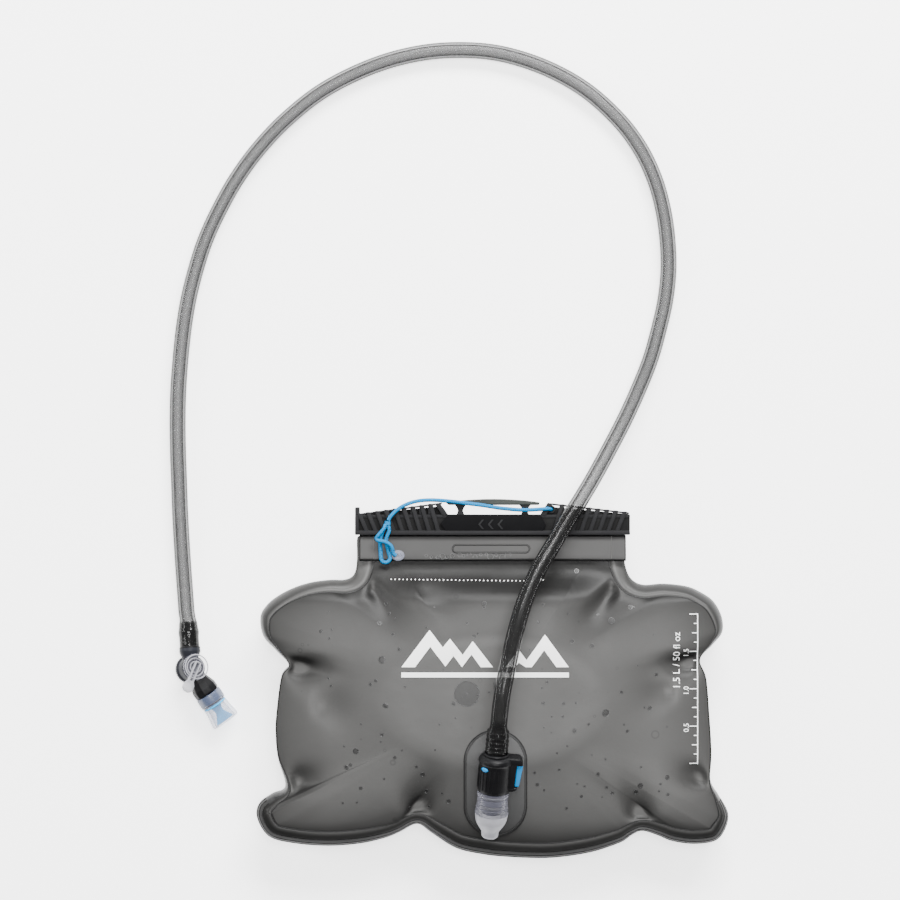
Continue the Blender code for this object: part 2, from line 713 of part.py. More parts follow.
def connector_collar(look):
    """The black collar with the housing of the release button on its +X side."""
    low, high = COLLAR_S
    place = port_place()
    collar = turned("connector_collar", (
        (0, high), (7.6, high), (9.4, high - 0.6), (9.8, high - 2.6), (9.2, high - 4.2),
        (9.2, low + 1.2), (8.6, low), (0, low)), look, place)
    housing = box("button_housing", (4.0, -4.6, 31.2), (14.9, 4.6, 49.2), None, place)
    bevel(housing, 1.6 * MM, 2)
    bore = turned("collar_bore", ((0, high + 2), (5.9, high + 2), (5.9, 34.3), (8.2, 33.9),
                                  (8.2, low - 2), (0, low - 2)), None, place)
    pocket = box("button_pocket", (9.9, -3.5, 33.5), (20, 3.5, 46.5), None, place)
    boolean(collar, housing, "UNION")
    boolean(collar, bore)
    boolean(collar, pocket)
    return collar


def release_button(look):
    """The blue latch button, sliding across the axis in its pocket."""
    made = box("release_button", (12.4, -3.1, 33.9), (15.5, 3.1, 46.1), look, port_place())
    bevel(made, 0.8 * MM, 2)
    smooth(made)
    return made


def button_spring(look):
    place = port_place(40.0) @ Matrix.Rotation(math.pi / 2, 4, "Y")
    return spring("button_spring", look, place, 1.6, 10.1, 12.2, 3, 0.25)


def hose(look):
    """The hose's plain stretch, and its two ends stretched over the barbs."""
    tube("drinking_hose", smooth_route(HOSE_ROUTE, HOSE_POINTS), HOSE_RADIUS, look)
    turned("hose_end_plug", (
        (4.75, 67.8), (5.2, 65.5), (6.2, 62), (6.2, 57), (6.4, 52.4), (6.0, 51.9), (4.1, 52.2),
        (4.0, 62), (3.2, 66.4), (3.2, 67.8)), look, port_place(), closed=True)
    turned("hose_end_valve", (
        (4.75, 28.4), (5.3, 27), (6.1, 20.5), (5.7, 12.2), (4.1, 12.2), (4.1, 21.5), (3.2, 27.0), (3.2, 28.4)),
        look, valve_place(VALVE_INLET), closed=True)


# ---- Bite valve --------------------------------------------------------------------
def valve_place(axis, side=None):
    return axis_frame(VALVE_CENTRE, axis, side or VALVE_AXIS)


def valve_elbow(look):
    """Drum housing with the hose barb and the outlet leg, bored through."""
    drum_place = valve_place(VALVE_AXIS, VALVE_OUTLET)
    elbow = rod("valve_elbow", 7.0, -5.2, 4.2, look, drum_place)
    inlet = turned("elbow_inlet", ((0, 26.5), (2.9, 26.5), (3.7, 21.5), (3.1, 21), (3.7, 16.5), (3.1, 16),
                                   (3.6, 11.9), (5.6, 11.9), (5.6, 8.5), (4.4, 6), (4.4, 2), (0, 2)),
                   None, valve_place(VALVE_INLET))
    outlet = turned("elbow_outlet", ((0, 24.0), (4.0, 24.0), (4.6, 22.5), (4.2, 17.4), (7.2, 17.2),
                                     (7.2, 13.0), (5.0, 8.0), (4.4, 2), (0, 2)),
                    None, valve_place(VALVE_OUTLET))
    chamber = rod("elbow_chamber", 4.9, -4.0, 10, None, drum_place)
    bore_in = rod("elbow_bore_in", 2.2, 1, 40, None, valve_place(VALVE_INLET), 16)
    bore_out = rod("elbow_bore_out", 2.6, 1, 40, None, valve_place(VALVE_OUTLET), 16)
    boolean(elbow, inlet, "UNION")
    boolean(elbow, outlet, "UNION")
    for cutter in (chamber, bore_in, bore_out):
        boolean(elbow, cutter)
    return elbow


def shutoff_core(look):
    """The turning core in the drum, with its cross bore and seal groove."""
    place = valve_place(VALVE_AXIS, VALVE_OUTLET)
    core = turned("shutoff_core", ((0, 4.1), (4.5, 4.1), (4.5, 3.9), (3.8, 3.9), (3.8, 2.7), (4.5, 2.7),
                                   (4.5, -3.7), (0, -3.7)), look, place)
    cross = rod("core_cross_bore", 1.9, -6, 6, None,
                axis_frame(VALVE_CENTRE - VALVE_AXIS * 0.9 * MM, VALVE_OUTLET, VALVE_AXIS), 16)
    boolean(core, cross)
    return core


def shutoff_knob(look):
    """The clear disc on the core and its lever with a paddle."""
    place = valve_place(VALVE_AXIS, VALVE_OUTLET)
    lever_way = Vector((-6.2, -11.3, 0))
    across = place.inverted().to_3x3() @ lever_way
    turn = Matrix.Rotation(math.atan2(across.y, across.x), 4, "Z")
    knob = turned("shutoff_knob", ((0, 7.0), (5.6, 7.0), (6.1, 8.7), (7.2, 8.7), (7.6, 8.2), (7.6, 6.3),
                                   (7.2, 5.9), (4.2, 5.9), (4.2, 4.5), (0, 4.5)), look, place)
    lever = box("knob_lever", (-2.6, -1.5, 6.4), (13.0, 1.5, 9.4), None, place @ turn)
    paddle = rod("knob_paddle", 3.3, 6.4, 9.4, None, place @ turn @ Matrix.Translation((12.6 * MM, 0, 0)), 16)
    boolean(knob, lever, "UNION")
    boolean(knob, paddle, "UNION")
    return knob


def lofted_tube(name, look, place, outer, inner):
    """A hollow piece lofted through oval sections (height, half across X, half across Y) in mm."""
    shape = bmesh.new()
    rows = []
    for height, half_x, half_y in list(outer) + list(reversed(inner)):
        row = []
        for step in range(SEGMENTS):
            turn = 2 * math.pi * step / SEGMENTS
            row.append(shape.verts.new(Vector((half_x * math.cos(turn), half_y * math.sin(turn), height)) * MM))
        rows.append(row)
    rows.append(rows[0])
    for lower, upper in zip(rows, rows[1:]):
        for index in range(SEGMENTS):
            after = (index + 1) % SEGMENTS
            shape.faces.new((lower[index], lower[after], upper[after], upper[index]))
    mesh = bpy.data.meshes.new(name)
    shape.to_mesh(mesh)
    shape.free()
    made = add_mesh(name, mesh, look, place)
    smooth(made)
    return made


def bite_sleeve(look):
    """The silicone mouthpiece: round on the leg, widening to a flattened mouth."""
    return lofted_tube("bite_sleeve", look, valve_place(VALVE_OUTLET), (
        (17.6, 7.6, 7.6), (22.8, 7.6, 7.6), (23.4, 7.0, 7.1), (26, 6.4, 7.3), (31, 5.4, 8.1), (35.2, 4.9, 8.9),
        (36.6, 4.4, 8.5)), (
        (17.6, 5.0, 5.0), (22.8, 5.0, 5.0), (26, 4.9, 5.4), (31, 3.9, 6.2), (35.2, 2.9, 7.0), (36.6, 2.6, 6.6)))


def bite_core(look):
    """The blue inner valve of the mouthpiece, narrow in its middle."""
    return lofted_tube("bite_core", look, valve_place(VALVE_OUTLET), (
        (24.4, 4.2, 4.2), (26, 3.6, 3.4), (29.5, 2.7, 2.4), (33, 2.5, 4.2), (35.8, 2.2, 6.0)), (
        (24.4, 2.6, 2.6), (26, 2.4, 2.2), (29.5, 1.5, 1.2), (33, 1.3, 2.9), (35.8, 1.0, 4.6)))


# ---- Assembly ----------------------------------------------------------------------
clear_scene()
PARTS = new_collection("hydration_bladder")
CUTTERS = new_collection("cutters")

FILM_LOOK = material("smoke_film", (0.19, 0.185, 0.18), 0.35)
BAND_LOOK = material("band_film", (0.12, 0.12, 0.118), 0.4)
BLACK_LOOK = material("black_plastic", (0.03, 0.03, 0.031), 0.5)
GRIP_LOOK = material("grip_plastic", (0.06, 0.066, 0.062), 0.55)
CORD_LOOK = material("blue_cord", (0.05, 0.42, 0.82), 0.6)
BUTTON_LOOK = material("blue_plastic", (0.03, 0.40, 0.80), 0.35)
CLEAR_LOOK = material("clear_plastic", (0.78, 0.79, 0.82), 0.15, alpha=0.6)
SEAL_LOOK = material("seal_rubber", (0.08, 0.08, 0.09), 0.6)
STEEL_LOOK = material("spring_steel", (0.6, 0.6, 0.6), 0.25, 1.0)
HOSE_LOOK = material("smoke_tube", (0.30, 0.30, 0.31), 0.15)
SLEEVE_LOOK = material("clear_silicone", (0.80, 0.82, 0.90), 0.4, alpha=0.6)
CORE_LOOK = material("blue_silicone", (0.25, 0.55, 0.85), 0.4)

FRONT = film_panel("front_panel", FILM_LOOK, FRONT_RINGS, True)
film_panel("back_panel", FILM_LOOK, BACK_RINGS, False)
gusset(FILM_LOOK)
neck_band("neck_band_front", BAND_LOOK, True)
neck_band("neck_band_back", BAND_LOOK, False)
mouth_fold(FILM_LOOK)
slider_bar(BLACK_LOOK)
slider_grip(GRIP_LOOK)
tether(CORD_LOOK)
tether_eyelet(CLEAR_LOOK)
port_flange(FILM_LOOK)
FLANGE_HOLE = rod("film_port_hole", 8.4, -40, 0, None, port_foot_place())
boolean(FRONT, FLANGE_HOLE)
port_body(CLEAR_LOOK)
port_poppet(BLACK_LOOK)
spring("port_spring", STEEL_LOOK, port_place(), 2.3, 2.0, 11.6, 5, 0.3)
plug_body(BLACK_LOOK)
o_ring("plug_o_ring_lower", SEAL_LOOK, port_place(), 19.8, 7.35, 0.9)
o_ring("plug_o_ring_upper", SEAL_LOOK, port_place(), 25.6, 7.35, 0.9)
connector_collar(BLACK_LOOK)
release_button(BUTTON_LOOK)
button_spring(STEEL_LOOK)
hose(HOSE_LOOK)
valve_elbow(BLACK_LOOK)
shutoff_core(BLACK_LOOK)
o_ring("core_o_ring", SEAL_LOOK, valve_place(VALVE_AXIS, VALVE_OUTLET), 3.3, 4.3, 0.35, 20)
shutoff_knob(CLEAR_LOOK)
bite_sleeve(SLEEVE_LOOK)
bite_core(CORE_LOOK)
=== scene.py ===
"""Looks of the hydration bladder: water-filled smoke film bag, slide seal, quick
connector, drinking hose and bite valve, on a pale studio floor.

Lengths here are in millimetres and are turned into metres as a mesh is made.
"""
import math
import random

import bmesh
import bpy
import numpy as np
from mathutils import Matrix, Vector
from mathutils.bvhtree import BVHTree


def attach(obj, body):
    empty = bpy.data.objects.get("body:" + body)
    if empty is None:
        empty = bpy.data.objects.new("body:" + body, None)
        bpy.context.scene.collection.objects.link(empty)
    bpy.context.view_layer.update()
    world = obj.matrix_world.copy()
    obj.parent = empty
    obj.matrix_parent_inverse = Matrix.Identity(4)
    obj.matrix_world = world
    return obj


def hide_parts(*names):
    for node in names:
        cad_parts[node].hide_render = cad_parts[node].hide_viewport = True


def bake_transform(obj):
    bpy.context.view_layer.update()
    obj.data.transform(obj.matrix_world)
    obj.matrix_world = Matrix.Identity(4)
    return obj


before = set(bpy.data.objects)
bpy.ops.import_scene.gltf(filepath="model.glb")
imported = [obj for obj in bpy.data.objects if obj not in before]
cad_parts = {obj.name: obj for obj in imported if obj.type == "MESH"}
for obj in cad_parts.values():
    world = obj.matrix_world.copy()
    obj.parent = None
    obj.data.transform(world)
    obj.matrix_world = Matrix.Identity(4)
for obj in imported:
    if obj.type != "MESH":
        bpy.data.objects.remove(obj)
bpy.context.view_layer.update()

MM = 0.001

# ---- Dimensions shared with the CAD model, in mm --------------------------------------
FILM = 0.45
BODY_CENTRE = (0.0, -12.0)
CREASE_FRONT, CREASE_BACK = 32.0, 9.0
FRONT_DOME = 12.0
BODY_MIDDLE, NECK_MIDDLE = 20.0, 22.0
NECK_START, NECK_END = 44.0, 67.0
NECK_HALF, MOUTH_HALF, MOUTH_Y = 3.6, 1.2, 85.6
FRONT_SWELL, BACK_SWELL = 0.5, 0.3
INNER_OVAL = (105.0, 62.0)
OUTLINE = (
    ("neck_left", 10.0, ((-75.7, 85.6), (-76, 82.5), (-77.8, 80), (-77.8, 68), (-79.5, 60))),
    ("shoulder_left", 6.5, ((-84.5, 57), (-93.5, 56.8), (-104, 55.4), (-113.5, 52.5), (-122.5, 48),
                            (-129.5, 42.4), (-133.3, 35.3), (-131.6, 24.4))),
    ("waist_left", 0.6, ((-124, 16), (-117, 8.3), (-121, 2), (-123.7, -18), (-124.3, -30),
                         (-123.2, -45), (-119, -61.4))),
    ("foot_left", 9.5, ((-126.6, -65.8), (-134, -71.5), (-135.2, -80), (-128.2, -90.7),
                        (-113, -94.7), (-94, -96), (-76, -94.7), (-61.6, -91.4))),
    ("notch_left", 5.0, ((-53, -87.8), (-43.2, -83.2))),
    ("foot_middle", 10.0, ((-35, -88.5), (-21, -97.3), (-5, -101), (10, -102.5), (29.6, -103.1),
                           (44, -101.9), (59, -99.1), (73.8, -93.9))),
    ("notch_right", 6.0, ((80, -89.6), (85.8, -87.3))),
    ("foot_right", 9.0, ((94.5, -89.9), (103, -93.3), (115.6, -94.9), (128, -93), (133.7, -86),
                         (135.2, -77))),
    ("waist_right", 0.6, ((130, -67), (124.9, -57.6), (125.2, -42), (124, -20), (122.2, 1),
                          (118.9, 11.2), (126, 19.2))),
    ("shoulder_right", 6.5, ((131.8, 26.5), (131.6, 35.6), (126.8, 44.5), (119.2, 49.9),
                             (111, 53.2), (98, 54.6), (86.2, 54))),
    ("neck_right", 9.0, ((79.5, 57.5), (76.3, 64.5), (75.8, 70), (75.8, 80), (75.4, 82.5),
                         (75.2, 85.6))),
)
BAND_X, BAND_Y, BAND_LIFT, BAND_THICK = 76.3, (68.2, 82.2), 1.4, 1.0
BAR_X, BAR_Y, BAR_HALF, WING_HALF = (-78.8, 78.6), (82.6, 94.2), 7.0, 4.0
CHANNEL_Y, CHANNEL_HALF, SLOT_HALF = (85.3, 92.4), 5.0, 1.9
POST_X, GRIP_X, GRIP_Y, GRIP_HALF = (-18.4, 18.6), (-26.8, 27.1), (99.7, 103.1), 4.5
TETHER_HOLE = (33.5, 97.2)
TETHER_RADIUS = 1.1
PORT_TILT, PORT_LEAN = math.radians(17), math.radians(4.3)
PORT_NOSE = (-2.0, -87.7, 48.6)
FLANGE_CENTRE, FLANGE_HALF = (1.4, -58.4), (17.8, 30.8)
HOSE_RADIUS, HOSE_BORE = 4.75, 3.2
HOSE_ROUTE = (
    (3.0, -21.0, 68.6), (4.8, -6, 70.4), (8.4, 12, 68.4), (12.7, 30, 63.2), (18.5, 48, 56),
    (26.5, 65, 48.5), (34.8, 78.5, 42), (42.8, 91.5, 36.3), (51.5, 105, 30.6),
    (58.5, 116.5, 25.8), (67.5, 132.5, 19.6), (76.3, 149, 14), (84.3, 166, 9.4),
    (91.4, 183.5, 6.3), (96.4, 201, 5.1), (100.2, 218, 4.9), (102, 235.5, 4.9),
    (101.4, 253, 4.9), (99, 270, 4.9), (94.2, 287.5, 4.9), (86, 305, 4.9), (73.4, 322, 4.9),
    (54, 339.5, 4.9), (30.5, 352.5, 4.9), (4.5, 360.6, 4.9), (-20.5, 362.6, 4.9),
    (-45, 360.2, 4.9), (-70.5, 352.8, 4.9), (-97.3, 339.5, 4.9), (-119, 322.5, 4.9),
    (-135.5, 305, 4.9), (-148.2, 287.5, 4.9), (-158, 270, 4.9), (-165.8, 253, 4.9),
    (-171.5, 235.5, 4.9), (-175.8, 218, 4.9), (-178.6, 200.5, 4.9), (-180.4, 183, 4.9),
    (-181.6, 166, 4.9), (-182, 149, 4.9), (-181.8, 131, 4.9), (-181.2, 114, 4.9),
    (-180.6, 96.5, 4.9), (-179.7, 79, 4.9), (-178.6, 62, 4.95), (-177.3, 44.5, 5.3),
    (-176.5, 34.0, 6.1),
)
TETHER_ROUTE = (
    (33.5, 97.2, 21), (33.5, 97.2, 25.5), (31.6, 97.6, 28), (25.4, 97.2, 28.6), (16.2, 96.9, 28.6),
    (4.2, 98, 28.4), (-5.5, 99.5, 28.2), (-14.3, 100.6, 28.2), (-23.3, 101.8, 28.2),
    (-34.8, 102.6, 28.2), (-43.5, 101.9, 28.6), (-50.5, 99.6, 29.5), (-55, 96.6, 30.4),
    (-58.2, 93.4, 30.9), (-59.6, 91.0, 31),
)
LOOP_ROUTE = (
    (-60.2, 88.2, 31), (-62.6, 85.2, 31), (-64.2, 79.8, 30.2), (-64.1, 73.5, 29.2),
    (-63.5, 68.2, 28.9), (-60.8, 66.9, 28.9), (-58.6, 69.2, 28.9), (-59.6, 73.4, 29.2),
    (-60.9, 79.8, 30.2), (-59.2, 85.2, 31),
)
VALVE_CENTRE = (-173.8, 5.1, 11.0)
VALVE_INLET = Vector((-0.076, 0.997, -0.178)).normalized()
VALVE_OUTLET = Vector((0.547, -0.837, -0.096)).normalized()
VALVE_AXIS = VALVE_OUTLET.cross(VALVE_INLET).normalized()

CAMERA_PLACE = (-24.4, 131.2, 2000.0)
CAMERA_FIELD = 522.0             # width that the camera sees at the table, mm
SKY_STRENGTH, FLOOR_GLOW = 0.38, 2.0
FLOOR_HALF, FLOOR_GAP = 12.0, 0.0004        # half side and depth below the part, in metres


# ---- Camera, floor and lights ---------------------------------------------------------
def make_camera():
    data = bpy.data.cameras.new("camera")
    data.sensor_width = 36.0
    data.lens = 36.0 * CAMERA_PLACE[2] / CAMERA_FIELD
    data.clip_end = 20.0
    camera = bpy.data.objects.new("camera", data)
    camera.location = Vector(CAMERA_PLACE) * MM
    bpy.context.scene.collection.objects.link(camera)
    bpy.context.scene.camera = camera


def area_light(name, place, target, size, power):
    data = bpy.data.lights.new(name, "AREA")
    data.shape = "RECTANGLE"
    data.size, data.size_y = size
    data.energy = power
    light = bpy.data.objects.new(name, data)
    light.location = place
    way = Vector(target) - Vector(place)
    light.rotation_euler = way.to_track_quat("-Z", "Y").to_euler()
    bpy.context.scene.collection.objects.link(light)


def make_studio():
    world = bpy.data.worlds.new("studio")
    world.use_nodes = True
    sky = world.node_tree.nodes["Background"].inputs
    sky["Color"].default_value = (1.0, 1.0, 1.0, 1.0)
    sky["Strength"].default_value = SKY_STRENGTH
    bpy.context.scene.world = world
    area_light("key_light", (0.35, 1.5, 1.2), (0.0, 0.05, 0.0), (1.4, 0.6), 120)
    area_light("side_light", (-1.5, 0.5, 1.0), (0.0, 0.1, 0.0), (0.6, 1.0), 22)
    area_light("top_light", (0.1, 0.35, 2.6), (0.0, 0.1, 0.0), (1.1, 0.8), 75)
    mesh = bpy.data.meshes.new("floor")
    corners = [(x, y, 0) for x, y in ((-FLOOR_HALF, -FLOOR_HALF), (FLOOR_HALF, -FLOOR_HALF),
                                      (FLOOR_HALF, FLOOR_HALF), (-FLOOR_HALF, FLOOR_HALF))]
    mesh.from_pydata(corners, [], [(0, 1, 2, 3)])
    floor = bpy.data.objects.new("floor", mesh)
    floor.location.z = -FLOOR_GAP
    bpy.context.scene.collection.objects.link(floor)
    look, _ = new_material("floor_paper", (0.92, 0.92, 0.92), 0.8, Emission_Color=(1, 1, 1, 1),
                           Emission_Strength=FLOOR_GLOW)
    mesh.materials.append(look)


# ---- Materials ------------------------------------------------------------------------
def new_material(name, colour, roughness, **settings):
    """A Principled material; settings are socket names with their values."""
    look = bpy.data.materials.new(name)
    look.use_nodes = True
    shader = look.node_tree.nodes["Principled BSDF"]
    if isinstance(colour, (int, float)):
        colour = (colour, colour, colour)
    shader.inputs["Base Color"].default_value = (*colour, 1.0)
    shader.inputs["Roughness"].default_value = roughness
    for socket, value in settings.items():
        shader.inputs[socket.replace("_", " ")].default_value = value
    return look, shader


def add(look, kind, **settings):
    node = look.node_tree.nodes.new(kind)
    for key, value in settings.items():
        setattr(node, key, value)
    return node


def link(look, start, end):
    look.node_tree.links.new(start, end)


def place_coords(look, scale=(1, 1, 1)):
    """Object coordinates, in metres, times a scale."""
    coords = add(look, "ShaderNodeTexCoord")
    mapping = add(look, "ShaderNodeMapping")
    mapping.inputs["Scale"].default_value = scale
    link(look, coords.outputs["Object"], mapping.inputs["Vector"])
    return mapping.outputs["Vector"]


def noise(look, coords, scale, detail=3.0, roughness=0.5):
    node = add(look, "ShaderNodeTexNoise")
    node.inputs["Scale"].default_value = scale
    node.inputs["Detail"].default_value = detail
    node.inputs["Roughness"].default_value = roughness
    link(look, coords, node.inputs["Vector"])
    return node.outputs["Fac"]


def ramp(look, value, stops):
    """A colour ramp through (position, colour) stops; a colour may be one grey value."""
    node = add(look, "ShaderNodeValToRGB")
    elements = node.color_ramp.elements
    for index, (position, colour) in enumerate(stops):
        if isinstance(colour, (int, float)):
            colour = (colour, colour, colour)
        element = elements[index] if index < 2 else elements.new(position)
        element.position = position
        element.color = (*colour, 1.0)
    link(look, value, node.inputs["Fac"])
    return node.outputs["Color"]


def math_node(look, operation, first, second=None, clamp=False):
    node = add(look, "ShaderNodeMath", operation=operation, use_clamp=clamp)
    for socket, value in zip(node.inputs, (first, second)):
        if value is None:
            continue
        if isinstance(value, (int, float)):
            socket.default_value = value
        else:
            link(look, value, socket)
    return node.outputs["Value"]


def mix_colour(look, share, first, second, mode="MIX"):
    node = add(look, "ShaderNodeMix", data_type="RGBA", blend_type=mode)
    sockets = (node.inputs["Factor"], node.inputs[6], node.inputs[7])
    for socket, value in zip(sockets, (share, first, second)):
        if isinstance(value, (int, float)):
            socket.default_value = value
        elif isinstance(value, tuple):
            socket.default_value = (*value, 1.0)
        else:
            link(look, value, socket)
    return node.outputs[2]


def bump(look, shader, height, strength, distance, before=None):
    node = add(look, "ShaderNodeBump")
    node.inputs["Strength"].default_value = strength
    node.inputs["Distance"].default_value = distance
    link(look, height, node.inputs["Height"])
    if before is not None:
        link(look, before, node.inputs["Normal"])
    link(look, node.outputs["Normal"], shader.inputs["Normal"])
    return node.outputs["Normal"]


def bubble_mask(look, coords, scale, share, least, most):
    """Rings of small bubbles: 1 on a ring, 0 elsewhere, in some cells of a Voronoi pattern."""
    cells = add(look, "ShaderNodeTexVoronoi", feature="F1")
    cells.inputs["Scale"].default_value = scale
    cells.inputs["Randomness"].default_value = 0.9
    link(look, coords, cells.inputs["Vector"])
    parts = add(look, "ShaderNodeSeparateColor")
    link(look, cells.outputs["Color"], parts.inputs["Color"])
    radius = math_node(look, "MULTIPLY_ADD", parts.outputs["Red"], most - least)
    radius.node.inputs[2].default_value = least
    off = math_node(look, "ABSOLUTE", math_node(look, "SUBTRACT", cells.outputs["Distance"], radius))
    ring = math_node(look, "SUBTRACT", 1.0, math_node(look, "MULTIPLY", off, 26.0), clamp=True)
    chosen = math_node(look, "LESS_THAN", parts.outputs["Green"], share)
    return math_node(look, "MULTIPLY", ring, chosen)


# Painted shade along Y on the films, (y in mm, share of its colour): darker towards the bag's bottom and
# neck, painted shadows at the band's edges, a lighter gusset top.
BODY_SHADE = ((-104, 0.30), (-92, 0.50), (-80, 0.86), (-60, 1.0), (20, 1.0), (54, 0.56), (67, 0.18))
GUSSET_SHADE = ((-104, 0.24), (-80, 0.38), (-62, 0.85), (20, 1.0), (70, 1.1))
BAND_SHADE = ((66, 0.35), (69.5, 0.82), (71, 1.0), (79.5, 1.0), (82.2, 0.25))
SHADE_SCALE, SHADE_SHIFT = 5.0, 0.55        # put Y, in metres, in a ramp's range of 0 to 1


def film_material(name, dark, light, bubbles=False, rough=0.3, slope=0.22, along=BODY_SHADE):
    """Smoke film: cloudy grey, a fine calendered grain, and bubbles under it. Painted shade: it
    darkens to the share slope where the film falls away steeply, towards its far sides in X,
    and along Y by the (y in mm, share) stops of along."""
    look, shader = new_material(name, light, rough, Specular_IOR_Level=0.08)
    coords = place_coords(look)
    cloud = noise(look, coords, 9.0, 2.0)
    colour = ramp(look, cloud, ((0.3, dark), (0.7, light)))
    if bubbles:
        fine = bubble_mask(look, coords, 150.0, 0.10, 0.05, 0.16)
        wide = bubble_mask(look, coords, 62.0, 0.13, 0.05, 0.15)
        rings = math_node(look, "MAXIMUM", fine, wide)
        colour = mix_colour(look, math_node(look, "MULTIPLY", rings, 0.42), colour, (0.03, 0.03, 0.03))
    # Painted shade: the film darkens where its surface tilts away from facing straight up.
    surface = add(look, "ShaderNodeNewGeometry")
    parts = add(look, "ShaderNodeSeparateXYZ")
    link(look, surface.outputs["Normal"], parts.inputs["Vector"])
    upright = math_node(look, "ABSOLUTE", parts.outputs["Z"])
    shade = ramp(look, upright, ((0.75, slope), (0.94, (1 + slope) / 2), (0.994, 1.0)))
    colour = mix_colour(look, 1.0, colour, shade, "MULTIPLY")
    # Painted shade: darker out at the sides beyond 94 mm from the middle, and along Y by the stops of
    # along.
    place = add(look, "ShaderNodeSeparateXYZ")
    link(look, coords, place.inputs["Vector"])
    aside = ramp(look, math_node(look, "ABSOLUTE", place.outputs["X"]), ((0.094, 1.0), (0.132, 0.66)))
    colour = mix_colour(look, 1.0, colour, aside, "MULTIPLY")
    height = math_node(look, "MULTIPLY_ADD", place.outputs["Y"], SHADE_SCALE)
    height.node.inputs[2].default_value = SHADE_SHIFT
    tone = ramp(look, height, [(y * MM * SHADE_SCALE + SHADE_SHIFT, share) for y, share in along])
    colour = mix_colour(look, 1.0, colour, tone, "MULTIPLY")
    link(look, colour, shader.inputs["Base Color"])
    grain = noise(look, coords, 2600.0, 2.0)
    fine_bump = bump(look, shader, grain, 0.05, 0.0002)
    soft = noise(look, coords, 60.0, 2.0)
    bump(look, shader, soft, 0.16, 0.002, fine_bump)
    rough_range = ramp(look, noise(look, coords, 24.0), ((0.3, rough - 0.05), (0.75, rough + 0.08)))
    link(look, rough_range, shader.inputs["Roughness"])
    return look


def plastic_material(name, colour, roughness, depth=0.08, worn=(0.02, 0.02, 0.02), **settings):
    """Moulded plastic: spark-eroded grain, small colour drift, slightly uneven gloss."""
    look, shader = new_material(name, colour, roughness, **settings)
    coords = place_coords(look)
    drift = noise(look, coords, 90.0, 3.0)
    lifted = tuple(min(1.0, part + extra) for part, extra in zip(colour, worn))
    link(look, mix_colour(look, drift, colour, lifted), shader.inputs["Base Color"])
    bump(look, shader, noise(look, coords, 1800.0, 2.0), depth, 0.0003)
    gloss = ramp(look, noise(look, coords, 140.0), ((0.3, roughness - 0.06), (0.7, roughness + 0.08)))
    link(look, gloss, shader.inputs["Roughness"])
    return look


def clear_material(name, colour, roughness, alpha, cloudy=0.0):
    """Clear or frosted plastic: see-through by alpha, with a bright edge and light clouding."""
    look, shader = new_material(name, colour, roughness, Specular_IOR_Level=0.5)
    coords = place_coords(look)
    facing = add(look, "ShaderNodeLayerWeight")
    facing.inputs["Blend"].default_value = 0.35
    rim = math_node(look, "MULTIPLY", facing.outputs["Facing"], 0.55 * (1 - alpha))
    cloud = math_node(look, "MULTIPLY", noise(look, coords, 220.0, 3.0), cloudy)
    total = math_node(look, "ADD", math_node(look, "ADD", rim, alpha), cloud, clamp=True)
    link(look, total, shader.inputs["Alpha"])
    bump(look, shader, noise(look, coords, 700.0, 2.0), 0.04, 0.0003)
    return look


def hose_material(name, wall_stops, tone):
    """Smoke clear hose: darker towards its edges, where the light passes more wall."""
    look, shader = new_material(name, tone, 0.17, Specular_IOR_Level=0.15)
    coords = place_coords(look)
    facing = add(look, "ShaderNodeLayerWeight")
    facing.inputs["Blend"].default_value = 0.5
    wall = ramp(look, facing.outputs["Facing"], wall_stops)
    link(look, wall, shader.inputs["Alpha"])
    drift = ramp(look, noise(look, coords, 30.0), ((0.3, tone * 0.8), (0.7, tone * 1.3)))
    link(look, drift, shader.inputs["Base Color"])
    bump(look, shader, noise(look, coords, 45.0, 1.0), 0.012, 0.001)
    return look


def cord_material(name):
    """Blue elastic cord with a braided sheath."""
    look, shader = new_material(name, (0.001, 0.15, 0.36), 0.65, Specular_IOR_Level=0.08)
    coords = place_coords(look)
    waves = []
    for turn in (0.9, -0.9):
        mapping = add(look, "ShaderNodeMapping")
        mapping.inputs["Rotation"].default_value = (turn, 0.4, turn)
        link(look, coords, mapping.inputs["Vector"])
        wave = add(look, "ShaderNodeTexWave")
        wave.inputs["Scale"].default_value = 480.0
        link(look, mapping.outputs["Vector"], wave.inputs["Vector"])
        waves.append(wave.outputs["Fac"])
    braid = math_node(look, "MAXIMUM", *waves)
    colour = ramp(look, braid, ((0.1, (0.0003, 0.08, 0.20)), (0.8, (0.0004, 0.16, 0.37))))
    link(look, colour, shader.inputs["Base Color"])
    bump(look, shader, braid, 0.45, 0.0002)
    return look


# Films: key, name, dark and light colour, then what differs from film_material's defaults.
FILM_LOOKS = (
    ("film", "smoke_film", (0.055, 0.0543, 0.053), (0.071, 0.0702, 0.0686),
     {"bubbles": True, "rough": 0.36}),
    ("gusset", "gusset_film", (0.066, 0.0655, 0.064), (0.092, 0.091, 0.089),
     {"rough": 0.32, "slope": 0.35, "along": GUSSET_SHADE}),
    ("band", "band_film", (0.038, 0.0376, 0.037), (0.050, 0.0494, 0.0486),
     {"rough": 0.42, "along": BAND_SHADE}),
    ("seam", "weld_seam", 0.045, 0.06, {"rough": 0.36, "slope": 0.4, "along": GUSSET_SHADE}),
    ("weld_line", "weld_line", 0.014, 0.022, {"rough": 0.45}),
    ("patch", "patch_film", 0.052, 0.064, {}),
)
